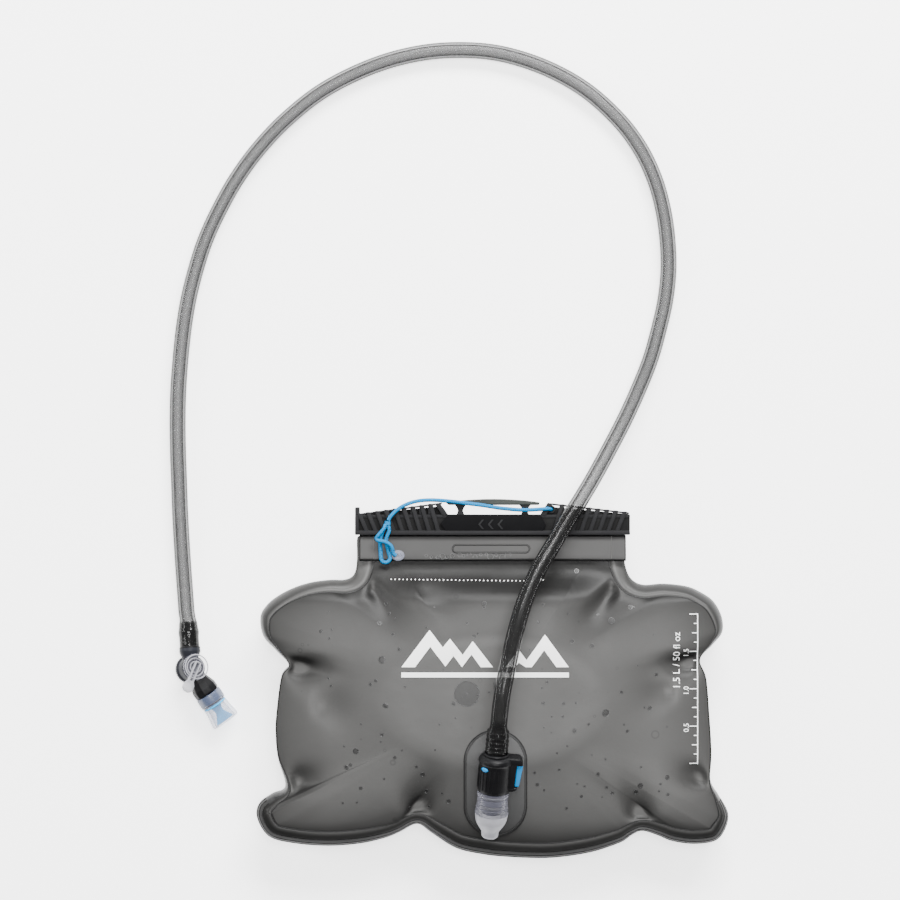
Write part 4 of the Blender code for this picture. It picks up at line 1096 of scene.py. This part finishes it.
def make_slider(looks):
    look = looks["black"]
    middle = NECK_MIDDLE
    left, right = BAR_X
    low, high = BAR_Y
    top = middle + BAR_HALF
    bottom = middle - BAR_HALF
    parts = []
    # The channel: two side walls, the back, lips at the slot, the closed left end and a foot rail.
    lip = CHANNEL_Y[0] - 0.05
    # The front wall, sunk behind the lips, takes a darker copy of the black plastic: painted shade in the
    # recess.
    for name, start, end, wall_look, edge in (
            ("bar_front", (left, low + 0.1, middle + CHANNEL_HALF - 0.4), (right, high, top - 1.7),
             looks["recess_shade"], 0.3),
            ("bar_rear", (left, low + 0.1, bottom), (right, high, middle - CHANNEL_HALF), look, 0.8),
            ("bar_spine", (left, CHANNEL_Y[1], bottom + 0.4), (right, high, top - 1.3), look, 0.4),
            ("bar_lip_front", (left, low + 0.1, middle + SLOT_HALF), (right, lip, top - 0.9), look, 0.6),
            ("bar_lip_rear", (left, low + 0.1, bottom + 0.4), (right, lip, middle - SLOT_HALF), look, 0.6),
            ("bar_end", (left, low + 0.1, bottom + 0.3), (left + 2.3, high, top - 0.4), look, 0.6),
            ("bar_tab", (left, 90.0, middle - 4.5), (left + 2.6, 98.4, middle + 5.4), look, 0.7),
            ("bar_foot_rail", (left, low, top - 1.6), (right, low + 2.6, top), look, 0.7)):
        parts.append(block(name, start, end, wall_look, edge))
    centre = ((-26.0, low + 0.6), (28.0, low + 0.6), (30.6, high - 6.0), (27.4, high), (-25.5, high),
              (-30.0, high - 5.0))
    # The centre panel takes a darker copy of the black plastic: painted shade.
    parts.append(prism("bar_centre", centre, top - 1.5, top - 0.15, looks["panel"], 0.5))
    # Wings: a web, a thin rail along the slope with gaps under it, and leaning ribs.
    for number, (start, end, lean) in enumerate(WING_RIBS):
        inner = (-25.5, high) if number == 0 else (27.4, high)
        slope = [(start, wing_top(start)), (end, wing_top(end))]
        web = [(start, high - 0.6), (end, high - 0.6), (end, slope[1][1] - 2.1), (start, slope[0][1] - 2.1)]
        if number == 0:
            web[1] = inner
            if slope[0][1] - 2.1 < high:
                web[3] = (start, high + 0.15)
        else:
            web[0] = inner
            if slope[1][1] - 2.1 < high:
                web[2] = (end, high + 0.15)
        # The web between the ribs takes a darker copy of the black plastic: painted shade.
        parts.append(prism("wing_web_%d" % number, web, middle - WING_HALF, middle + 2.6, looks["recess_shade"],
                           0.25))
        rail = [(start, slope[0][1] - 1.0), (end, slope[1][1] - 1.0), (end, slope[1][1]),
                (start, slope[0][1])]
        parts.append(prism("wing_rail_%d" % number, rail, middle - WING_HALF + 0.4,
                           middle + WING_HALF - 0.2, look, 0.3))
        foot = start + 3.2
        while foot < end + 0.5:
            head = foot - 3.6 * lean
            base = foot + 0.8 * lean
            if start - 0.5 < head < end + 0.6 and start < base + 0.4 * lean < end + 4:
                peak = wing_top(head) + 0.25
                shape = [(base - RIB_WIDE / 2, low + 2.2), (base + RIB_WIDE / 2, low + 2.2),
                         (head + RIB_WIDE / 2, peak), (head - RIB_WIDE / 2, peak)]
                parts.append(prism("wing_rib", shape, top - 2.4, top - 0.1, look, 0.4))
                shape = [(head - RIB_WIDE / 2, high), (head + RIB_WIDE / 2, high),
                         (head + RIB_WIDE / 2, peak - 0.1), (head - RIB_WIDE / 2, peak - 0.1)]
                parts.append(prism("wing_rib_root", shape, middle - WING_HALF + 0.2, top - 1.2, look, 0.3))
            foot += RIB_STEP
        shoulder = ((31.7, 100.9), (27.4, high), (30.2, high - 1.0), (34.4, 100.5))
        if number == 0:
            shoulder = ((-30.4, 100.9), (-25.5, high), (-28.4, high - 1.0), (-33.2, 100.4))
        parts.append(prism("wing_shoulder_%d" % number, shoulder, middle - WING_HALF, top - 1.0, look, 0.4))
    for number, x in enumerate(POST_X):
        outline = []
        heights = np.linspace(93.6, 99.75, 12)
        for y in heights:
            share = (y - 93.6) / 6.15
            outline.append((x + 1.45 + 1.5 * abs(share - 0.45) ** 1.6 * 3.0, y))
        mirror = [(2 * x - px, py) for px, py in reversed(outline)]
        parts.append(prism("grip_post_%d" % number, outline + mirror, middle - WING_HALF,
                           middle + WING_HALF, look, 0.3))
    # Raised arrows show the way that the seal slides shut.
    for number, x in enumerate((-4.5, 1.0, 6.5)):
        arrow = ((x - 1.6, 86.0), (x - 0.4, 86.0), (x + 1.8, 88.7), (x - 0.4, 91.4), (x - 1.6, 91.4),
                 (x + 0.6, 88.7))
        parts.append(prism("bar_arrow_%d" % number, [(-px, py) for px, py in arrow][::-1], top - 0.4,
                           top + 0.05, look, 0.1))
    finish_piece(join("slide_bar", parts), "slide_seal", "black_plastic", "slider_bar")
    left, right = GRIP_X
    outline = [(left + 1.6, GRIP_Y[0]), (right - 0.6, GRIP_Y[0])]
    for share in np.linspace(0, 1, 41):
        rise = 1.4 + (GRIP_Y[1] - GRIP_Y[0] - 1.4) * math.sin(math.pi * share) ** 0.8
        outline.append((mix(right, left, share), GRIP_Y[0] + rise))
    grip = prism("grip_bar", outline, middle - GRIP_HALF, middle + GRIP_HALF, looks["grip"], 0.55,
                 segments=3)
    finish_piece(grip, "slide_seal", "grip_plastic", "slider_grip")
    ring_place = Matrix.Translation((TETHER_HOLE[0], TETHER_HOLE[1], middle))
    collar = ring("tether_grommet", 1.9, WING_HALF - 0.2, 0.5, ring_place, look, 32)
    finish_piece(collar, "slide_seal", "black_plastic")


# ---- Port and connector ---------------------------------------------------------------
def coil(name, place, radius, wire, turns, low, high, look):
    """A round spring about the frame's Z, from low to high."""
    count = turns * 24
    path = []
    for step in range(count + 1):
        turn = 2 * math.pi * step / 24
        height = mix(low, high, step / count)
        path.append(place @ Vector((radius * math.cos(turn), radius * math.sin(turn), height)))
    return sweep(name, np.array(path), wire, look, 8)


def make_flange(looks, tree):
    """The oval patch welded on the front film, with its raised rim and outline."""
    half_x, half_y = FLANGE_HALF
    straight = half_y - half_x
    steps = 96
    points = []
    shares = (1.0, 0.985, 0.93, 0.86, 0.76, 0.64, 0.5, 0.36, 0.2)
    lifts = (0.45, 0.95, 1.0, 0.95, 0.95, 0.95, 0.95, 0.95, 0.95)
    outline = []
    for share, lift in zip(shares, lifts):
        for step in range(steps):
            turn = 2 * math.pi * step / steps
            shift = straight if math.sin(turn) > 0 else -straight
            x = FLANGE_CENTRE[0] + half_x * math.cos(turn) * share
            y = FLANGE_CENTRE[1] + (half_x * math.sin(turn) + shift) * share
            points.append(drop(tree, x, y, lift))
            if share == 1.0:
                outline.append((x, y))
    points.append(drop(tree, *FLANGE_CENTRE, 0.95))
    faces = grid_faces(len(shares), steps) + fan_faces((len(shares) - 1) * steps, steps, len(points) - 1)
    patch = new_piece("port_patch", points, faces, looks["patch"], 70)
    finish_piece(solidify(patch, 0.5, -1), "reservoir", "film", "port_flange")
    rim = np.array([drop(tree, x, y, 0.5) for x, y in outline])
    rim, _ = even_path(rim, 1.0, closed=True)
    finish_piece(sweep("port_patch_rim", rim, 0.26, looks["weld_line"], 10, closed=True), "reservoir",
                 "film")
    inner = [drop(tree, FLANGE_CENTRE[0] + (x - FLANGE_CENTRE[0]) * 0.94,
                  FLANGE_CENTRE[1] + (y - FLANGE_CENTRE[1]) * 0.965, 1.0) for x, y in outline]
    inner, _ = even_path(np.array(inner), 1.0, closed=True)
    finish_piece(sweep("port_patch_bead", inner, 0.3, looks["patch"], 8, closed=True), "reservoir", "film")


def make_port(looks):
    place = port_place()
    body = turned("port_housing", (
        (8.75, 27.9), (8.8, 20.0), (9.2, 18.6), (9.25, 14.0), (9.0, 11.6), (8.4, 9.3), (7.3, 7.3),
        (6.1, 5.6), (5.2, 4.2), (4.9, 3.2), (4.75, 0.9), (4.0, 0), (0, 0), (0, 1.8), (3.2, 1.8),
        (3.2, 8.6), (5.6, 9.2), (5.6, 15.2), (4.3, 15.4), (4.3, 16.4), (8.3, 17.2), (8.3, 27.9)), place,
                  looks["clear"], closed=True, rounding=0.5)
    inverse = place.inverted()
    paint(body, looks["frosted"], lambda centre: (inverse @ centre).z < 15.0)
    foot = turned("port_foot", ((5.9, -8.0), (7.5, -9.2), (7.5, -10.3), (3.4, -10.3), (3.4, -8.0)),
                  port_foot_place(), looks["frosted"], closed=True)
    parts = [body, foot]
    for height, radius in ((26.6, 8.9), (15.2, 9.3)):
        parts.append(ring("port_ring_%d" % int(height), radius, height, 0.28, place, looks["clear"]))
    finish_piece(join("port_clear_housing", parts), "reservoir", "clear_plastic", "port_body")
    poppet = turned("port_valve_disc", ((0, 13.9), (2.6, 13.9), (4.9, 13.2), (4.9, 12.2), (1.0, 11.6),
                                        (1.0, 4.4), (0, 4.4)), place, looks["frosted"])
    finish_piece(poppet, "check_valve", "clear_plastic", "port_poppet")
    spring = coil("port_return_spring", place, 2.2, 0.3, 5, 2.3, 11.0, looks["steel"])
    finish_piece(spring, "reservoir", "spring_steel", "port_spring")


def make_connector(looks):
    place = port_place()
    plug = turned("hose_plug", (
        (2.9, 66.0), (3.7, 62), (3.7, 61.4), (3.1, 61.4), (3.7, 57), (3.7, 56.4), (3.1, 56.4), (3.7, 52),
        (5.6, 51.6), (5.6, 34), (7.4, 33.6), (7.4, 31), (7.9, 30.6), (7.9, 27), (6.1, 27), (6.1, 24.2),
        (7.9, 24.2), (7.9, 21.2), (6.1, 21.2), (6.1, 18.4), (7.9, 18.4), (7.9, 17.9), (3.7, 16.6),
        (3.7, 14.2), (2.4, 14.2), (2.4, 66.0)), place, looks["plug"], closed=True, rounding=0.15)
    inverse = place.inverted()
    paint(plug, looks["collar"], lambda centre: (inverse @ centre).z > 30.0)
    finish_piece(plug, "hose_assembly", "plug_plastic", "plug_body")
    for name, height, node in (("plug_seal_lower", 19.8, "plug_o_ring_lower"),
                               ("plug_seal_upper", 25.6, "plug_o_ring_upper")):
        finish_piece(ring(name, 7.15, height, 1.05, place, looks["rubber"]), "hose_assembly",
                     "seal_rubber", node)
    collar = [turned("collar_shell", (
        (7.0, 50.0), (7.9, 49.6), (9.3, 48.6), (9.8, 47.2), (9.8, 46.2), (9.3, 45.4), (9.15, 44.0),
        (9.15, 30.2), (8.7, 28.4), (8.2, 28.2), (8.2, 33.9), (5.9, 34.3), (5.9, 50.0)), place,
                     looks["collar"], closed=True, rounding=0.5)]
    collar.append(turned("collar_throat", ((5.9, 49.6), (7.1, 49.9), (7.3, 50.6), (6.9, 51.2),
                                           (6.4, 51.3), (5.9, 50.9)), place, looks["collar"], closed=True,
                         rounding=0.2))
    for number in range(15):
        turn = math.radians(78 + 14.5 * number)
        spin = place @ Matrix.Rotation(turn, 4, "Z")
        collar.append(block("collar_rib_%d" % number, (8.9, -0.42, 30.6), (9.5, 0.42, 43.0),
                            looks["collar"], 0.2, spin))
    # The button's housing: an open bracket in the plane of the axis, closed behind.
    flip = place @ Matrix(((1, 0, 0, 0), (0, 0, -1, 0), (0, 1, 0, 0), (0, 0, 0, 1)))
    bracket = ((4, 29.6), (10.6, 29.6), (12.8, 30.6), (13.4, 32.4), (8.4, 32.4), (8.4, 45.6), (15.3, 45.6),
               (15.2, 47.8), (13.4, 49.8), (4, 49.9))
    collar.append(prism("housing_bracket", bracket, -4.5, 4.5, looks["collar"], 0.9, flip, 3))
    collar.append(prism("housing_cover", ((7.6, 31.6), (11.3, 31.6), (12.0, 46.4), (7.6, 46.4)), 3.6, 4.45,
                        looks["collar"], 0.3, flip))
    collar.append(prism("housing_back", ((7.6, 31.6), (13.2, 31.6), (14.2, 46.4), (7.6, 46.4)), -4.45, -3.5,
                        looks["collar"], 0.3, flip))
    finish_piece(join("coupling_collar", collar), "hose_assembly", "black_plastic", "connector_collar")
    button = prism("latch_button", ((11.5, 32.7), (13.9, 32.7), (15.4, 45.3), (11.9, 45.3)), -3.2, 3.3,
                   looks["blue"], 0.6, flip, 3)
    finish_piece(button, "release", "blue_plastic", "release_button")
    window = place @ Matrix.Translation((-6.2, -6.9, 43.2)) @ Matrix.Rotation(math.radians(-42), 4, "Z")
    dot = turned("window_dot", ((0, 0.75), (0.9, 0.6), (1.5, 0.1), (1.6, -0.6), (0, -0.6)),
                 window @ Matrix.Rotation(math.radians(90), 4, "X") @ Matrix.Diagonal((1.5, 0.85, 1, 1)),
                 looks["blue"])
    finish_piece(dot, "hose_assembly", "blue_plastic")
    across = port_place(40.0) @ Matrix.Rotation(math.pi / 2, 4, "Y")
    spring = coil("latch_spring", across, 1.6, 0.25, 3, 10.35, 11.95, looks["steel"])
    finish_piece(spring, "hose_assembly", "spring_steel", "button_spring")


# ---- Bite valve -----------------------------------------------------------------------
def make_valve(looks):
    """Everything on the hose's far end; returns the pieces."""
    inlet = valve_place(VALVE_INLET)
    outlet = valve_place(VALVE_OUTLET)
    drum = valve_place(VALVE_AXIS, VALVE_OUTLET)
    parts = [turned("drum_wall", ((4.9, 4.2), (7.0, 4.2), (7.0, -2.2), (7.4, -2.6), (7.7, -4.6),
                                  (7.2, -5.2), (0, -5.2), (0, -4.0), (4.9, -4.0)), drum, looks["drum"],
                    closed=True, rounding=0.3)]
    for number in range(44):
        spin = drum @ Matrix.Rotation(2 * math.pi * number / 44, 4, "Z")
        parts.append(block("drum_knurl_%d" % number, (7.3, -0.26, -4.9), (7.95, 0.26, -2.7),
                           looks["drum"], 0.12, spin))
    barb = turned("inlet_barb", ((2.2, 26.5), (2.9, 26.5), (3.7, 21.5), (3.1, 21), (3.7, 16.5), (3.1, 16),
                                 (3.6, 11.9), (2.2, 11.9)), inlet, looks["collar"], closed=True,
                                 rounding=0.12)
    neck = turned("inlet_neck", ((2.2, 12.0), (5.9, 12.0), (6.1, 11.2), (6.1, 9.6), (5.6, 8.3),
                                 (4.8, 6.6), (4.7, 3.5), (2.2, 3.5)), inlet, looks["drum"], closed=True)
    cuff = turned("inlet_cuff_ring", ((4.2, 12.6), (5.9, 12.6), (6.1, 12.2), (6.1, 11.6), (5.8, 11.2),
                                      (4.2, 11.2)), inlet, looks["collar"], closed=True, rounding=0.15)
    leg = turned("outlet_leg", ((2.6, 4.0), (4.9, 4.0), (5.3, 7.4), (7.4, 13.2), (7.45, 16.6),
                                (6.9, 17.3), (4.2, 17.4), (4.5, 22.5), (4.0, 24.0), (2.6, 24.0)), outlet,
                 looks["collar"], closed=True, steps=10, rounding=0.35, angle=20)
    finish_piece(join("valve_elbow_body", parts + [barb, neck, cuff, leg]), "hose_assembly",
                 "black_plastic", "valve_elbow")
    core = turned("stop_core", ((0, 4.1), (4.5, 4.1), (4.5, 3.9), (3.8, 3.9), (3.8, 2.7), (4.5, 2.7),
                                (4.5, -3.7), (0, -3.7)), drum, looks["drum"])
    finish_piece(core, "shutoff", "plug_plastic", "shutoff_core")
    finish_piece(ring("stop_core_seal", 4.15, 3.3, 0.5, drum, looks["rubber"]), "shutoff", "seal_rubber",
                 "core_o_ring")
    lever_way = drum.inverted().to_3x3() @ Vector((-6.2, -11.3, 0))
    turn = Matrix.Rotation(math.atan2(lever_way.y, lever_way.x), 4, "Z")
    dial = [turned("dial", ((0, 6.7), (3.0, 6.7), (3.4, 7.3), (4.4, 7.3), (4.8, 6.8), (5.4, 6.8),
                            (5.9, 8.6), (6.5, 8.9), (7.2, 8.7), (7.6, 8.1), (7.6, 6.3), (7.2, 5.9),
                            (4.2, 5.9), (4.2, 4.6), (0, 4.6)), drum, looks["clear"], rounding=0.3)]
    # Rings on the dial's real step edges, in a lighter frosted look: painted highlights on those edges.
    for radius, height in ((3.2, 6.9), (5.1, 6.9), (6.9, 8.6)):
        dial.append(ring("dial_ring_%d" % int(radius), radius, height, 0.34, drum, looks["frosted"]))
    place = drum @ turn
    for number, side in enumerate((-1.35, 1.35)):
        dial.append(block("lever_wall_%d" % number, (-2.6, side - 0.35, 6.8), (10.6, side + 0.35, 9.5),
                          looks["frosted"], 0.2, place))
    dial.append(block("lever_floor", (-2.6, -1.4, 6.8), (10.6, 1.4, 7.6), looks["clear"], 0.2, place))
    dial.append(block("lever_end", (-3.0, -1.7, 6.8), (-2.3, 1.7, 9.5), looks["frosted"], 0.2, place))
    paddle = [(9.0, -1.8), (11.5, -3.2), (14.4, -3.2), (16.0, -1.6), (16.0, 1.6), (14.4, 3.2),
              (11.5, 3.2), (9.0, 1.8)]
    dial.append(prism("lever_paddle", paddle, 6.6, 9.3, looks["frosted"], 0.7, place, 3))
    finish_piece(join("stop_dial", dial), "shutoff", "clear_plastic", "shutoff_knob")
    sleeve = lofted("mouthpiece", looks["silicone"], outlet, (
        ((17.6, 7.5, 7.5), (19.4, 7.7, 7.7), (22.8, 7.6, 7.6), (23.6, 7.0, 7.1), (26, 6.4, 7.3),
         (31, 5.4, 8.1), (35.0, 4.9, 8.9), (36.2, 4.6, 8.8), (36.7, 4.2, 8.3)),
        ((17.6, 5.0, 5.0), (22.8, 5.0, 5.0), (26, 4.9, 5.4), (31, 3.9, 6.2), (35.2, 2.9, 7.0),
         (36.7, 2.6, 6.6))))
    inverse = outlet.inverted()
    paint(sleeve, looks["sleeve_base"], lambda centre: (inverse @ centre).z < 22.9)
    finish_piece(sleeve, "hose_assembly", "clear_silicone", "bite_sleeve")
    lines = [ring("sleeve_line", 7.2, 23.3, 0.35, outlet, looks["rubber"]),
             ring("sleeve_blue_line", 6.75, 25.0, 0.45, outlet, looks["blue_silicone"])]
    finish_piece(join("mouthpiece_lines", lines), "hose_assembly", "seal_rubber")
    inner = lofted("mouthpiece_core", looks["blue_silicone"], outlet, (
        ((24.4, 4.2, 4.2), (26, 3.6, 3.4), (29.5, 2.7, 2.4), (33, 2.5, 4.2), (35.8, 2.2, 6.0)),
        ((24.4, 2.6, 2.6), (26, 2.4, 2.2), (29.5, 1.5, 1.2), (33, 1.3, 2.9), (35.8, 1.0, 4.6))))
    finish_piece(inner, "hose_assembly", "blue_silicone", "bite_core")
    return [bpy.data.objects[name] for name in (
        "valve_elbow_body", "stop_core", "stop_core_seal", "stop_dial", "mouthpiece", "mouthpiece_lines",
        "mouthpiece_core")]


# ---- Prints and bubbles ---------------------------------------------------------------
PRINT_LIFT = 0.32
DOT_RADIUS, DOT_STEP = 0.36, 2.3            # of the fill line
TICK_COUNT, TICK_STEP = 17, 5.32            # of the volume scale
SCALE_X, SCALE_LOW, SCALE_HIGH, SCALE_WIDE = 116.5, -48, 38, 0.55


def print_shape(tree, outline, step=2.5):
    """Points and faces of a flat shape laid on the film: it is cut to a grid and dropped."""
    shape = bmesh.new()
    corners = [shape.verts.new((x, y, 0)) for x, y in outline]
    shape.faces.new(corners)
    bmesh.ops.triangulate(shape, faces=shape.faces[:])
    xs = [x for x, _ in outline]
    ys = [y for _, y in outline]
    for axis, low, high in (((1, 0, 0), min(xs), max(xs)), ((0, 1, 0), min(ys), max(ys))):
        value = math.floor(low / step) * step + step
        while value < high:
            plane = Vector(axis) * value
            every = shape.verts[:] + shape.edges[:] + shape.faces[:]
            bmesh.ops.bisect_plane(shape, geom=every, plane_co=plane, plane_no=axis)
            value += step
    shape.verts.index_update()
    points = [drop(tree, vertex.co.x, vertex.co.y, PRINT_LIFT) for vertex in shape.verts]
    faces = []
    for face in shape.faces:
        ids = tuple(vertex.index for vertex in face.verts)
        faces.append(ids if face.normal.z > 0 else ids[::-1])
    shape.free()
    return points, faces


def text_outlines(words, size, place, turn):
    """A line of plain lettering as a mesh in plan: points and faces in mm."""
    curve = bpy.data.curves.new("print_words", "FONT")
    curve.body = words
    curve.size = size
    curve.resolution_u = 3
    holder = bpy.data.objects.new("print_words", curve)
    bpy.context.scene.collection.objects.link(holder)
    bpy.context.view_layer.update()
    mesh = bpy.data.meshes.new_from_object(holder.evaluated_get(bpy.context.evaluated_depsgraph_get()))
    spin = Matrix.Rotation(turn, 4, "Z")
    points = [spin @ vertex.co + Vector((*place, 0)) for vertex in mesh.vertices]
    faces = [tuple(face.vertices) for face in mesh.polygons]
    bpy.data.objects.remove(holder, do_unlink=True)
    bpy.data.meshes.remove(mesh)
    return points, faces


def merge_print(name, shapes, look):
    points = []
    faces = []
    for some, sides in shapes:
        base = len(points)
        points += some
        faces += [tuple(base + index for index in face) for face in sides]
    piece = new_piece(name, points, faces, look, 80)
    return finish_piece(piece, "reservoir", "film")


def make_prints(looks, tree):
    shapes = []
    # Dotted fill line across the top.
    x = -58.0
    while x < 24.0:
        dot = circle(x, 56.9 - 0.012 * (x + 17), DOT_RADIUS, DOT_RADIUS, 10)
        shapes.append(print_shape(tree, dot))
        x += DOT_STEP
    shapes.append(print_shape(tree, ((27, 55.8), (29.4, 57.0), (27, 58.2))))
    # Volume scale: a line with long and short ticks, and numbers that run along it.
    edge = SCALE_X + SCALE_WIDE
    shapes.append(print_shape(tree, ((SCALE_X, SCALE_LOW), (edge, SCALE_LOW), (edge, SCALE_HIGH),
                                     (SCALE_X, SCALE_HIGH))))
    for number in range(TICK_COUNT):
        y = -47.7 + number * TICK_STEP
        start = SCALE_X - (4.4 if number % 4 == 0 else (3.0 if number % 2 == 0 else 1.9))
        shapes.append(print_shape(tree, ((start, y), (SCALE_X, y), (SCALE_X, y + 0.5), (start, y + 0.5))))
    merge_print("print_scale", shapes, looks["print"])
    words = []
    for label, x, y, size in (("0.5", 111.6, -29.5, 4.2), ("1.0", 111.6, -8.5, 4.2),
                              ("1.5", 111.6, 13.0, 4.2),
                              ("1.5 L / 50 fl oz", 106.6, -5.0, 5.6)):
        points, faces = text_outlines(label, size, (x, y), math.radians(90))
        words.append(([drop(tree, point.x, point.y, PRINT_LIFT) for point in points], faces))
    merge_print("print_numbers", words, looks["print"])
    # A plain mark: a row of peaks over a base line.
    peaks = (((-52, 8), (-36, 29), (-28.5, 19.2), (-24.4, 24.2), (-17.2, 15), (-11.5, 22.8), (0, 8),
              (-7, 8), (-12.2, 15.2), (-17.6, 8), (-22.4, 14.4), (-27, 8.4), (-35.6, 19.6), (-44.2, 8)),
             ((7, 8), (14.5, 18), (19, 12), (29.5, 26.5), (43, 8), (36, 8), (29, 17.6), (22, 8),
              (18.5, 8), (14.6, 10.6), (12.6, 8)),
              ((-52, 2.2), (43, 2.2), (43, 5.0), (-52, 5.0)))
    merge_print("print_mark", [print_shape(tree, peak) for peak in peaks], looks["print"])


def make_bubbles(looks, tree):
    """Air bubbles pressed against the film: low domes with a dark rim."""
    chooser = random.Random(11)
    places = [(-14.9, -7, 7.2), (2.5, -3.0, 2.3), (67.5, 34.0, 1.7), (-63.0, 12.0, 1.9), (64.0, -18.0, 1.9),
              (84.0, -60.0, 1.4), (-78.0, -40.0, 1.5), (48.0, 62.0, 1.2)]
    for _ in range(130):
        x = chooser.uniform(-98, 100)
        y = chooser.uniform(-74, 44)
        if abs(x - FLANGE_CENTRE[0]) < 22 and y < -22:
            continue
        places.append((x, y, chooser.choice((0.4, 0.5, 0.5, 0.7, 0.9, 1.2))))
    rims = []
    domes = []
    for number, (x, y, radius) in enumerate(places):
        count = 28 if radius > 1 else 14
        path = np.array([drop(tree, *spot, 0.02) for spot in circle(x, y, radius, radius, count)])
        thick = 0.10 + 0.04 * min(radius, 2)
        rims.append(sweep("bubble_%d" % number, path, thick, looks["bubble"], 6, closed=True))
        top = drop(tree, x, y, 0.12)
        faces = fan_faces(0, count, count)
        domes.append(new_piece("dome_%d" % number, [*path, top], faces, looks["bubble_fill"], 80))
    for number in range(16):
        x = -38 + number * 3.1 + chooser.uniform(-0.8, 0.8)
        y = 70.6 + chooser.uniform(-0.9, 0.9)
        radius = chooser.choice((0.8, 1.2, 1.6))
        height = band_height(y, True) + BAND_THICK + 0.02
        path = np.array([(*spot, height) for spot in circle(x, y, radius, radius, 22)])
        rims.append(sweep("band_bubble_%d" % number, path, 0.17, looks["bubble"], 6, closed=True))
    finish_piece(join("bubble_rims", rims), "reservoir", "film")
    finish_piece(join("bubble_domes", domes), "reservoir", "film")


# ---- Run ------------------------------------------------------------------------------
make_camera()
LOOKS = make_materials()
make_studio()
HOSE, HOSE_LINE, HOSE_LENGTH = make_hose(LOOKS)
VALVE_PIECES = make_valve(LOOKS)
make_tether(LOOKS)
FILM_TREE = make_bag(LOOKS)
make_neck(LOOKS)
make_eyelet(LOOKS)
make_slider(LOOKS)
make_flange(LOOKS, FILM_TREE)
make_port(LOOKS)
make_connector(LOOKS)
make_prints(LOOKS, FILM_TREE)
make_bubbles(LOOKS, FILM_TREE)
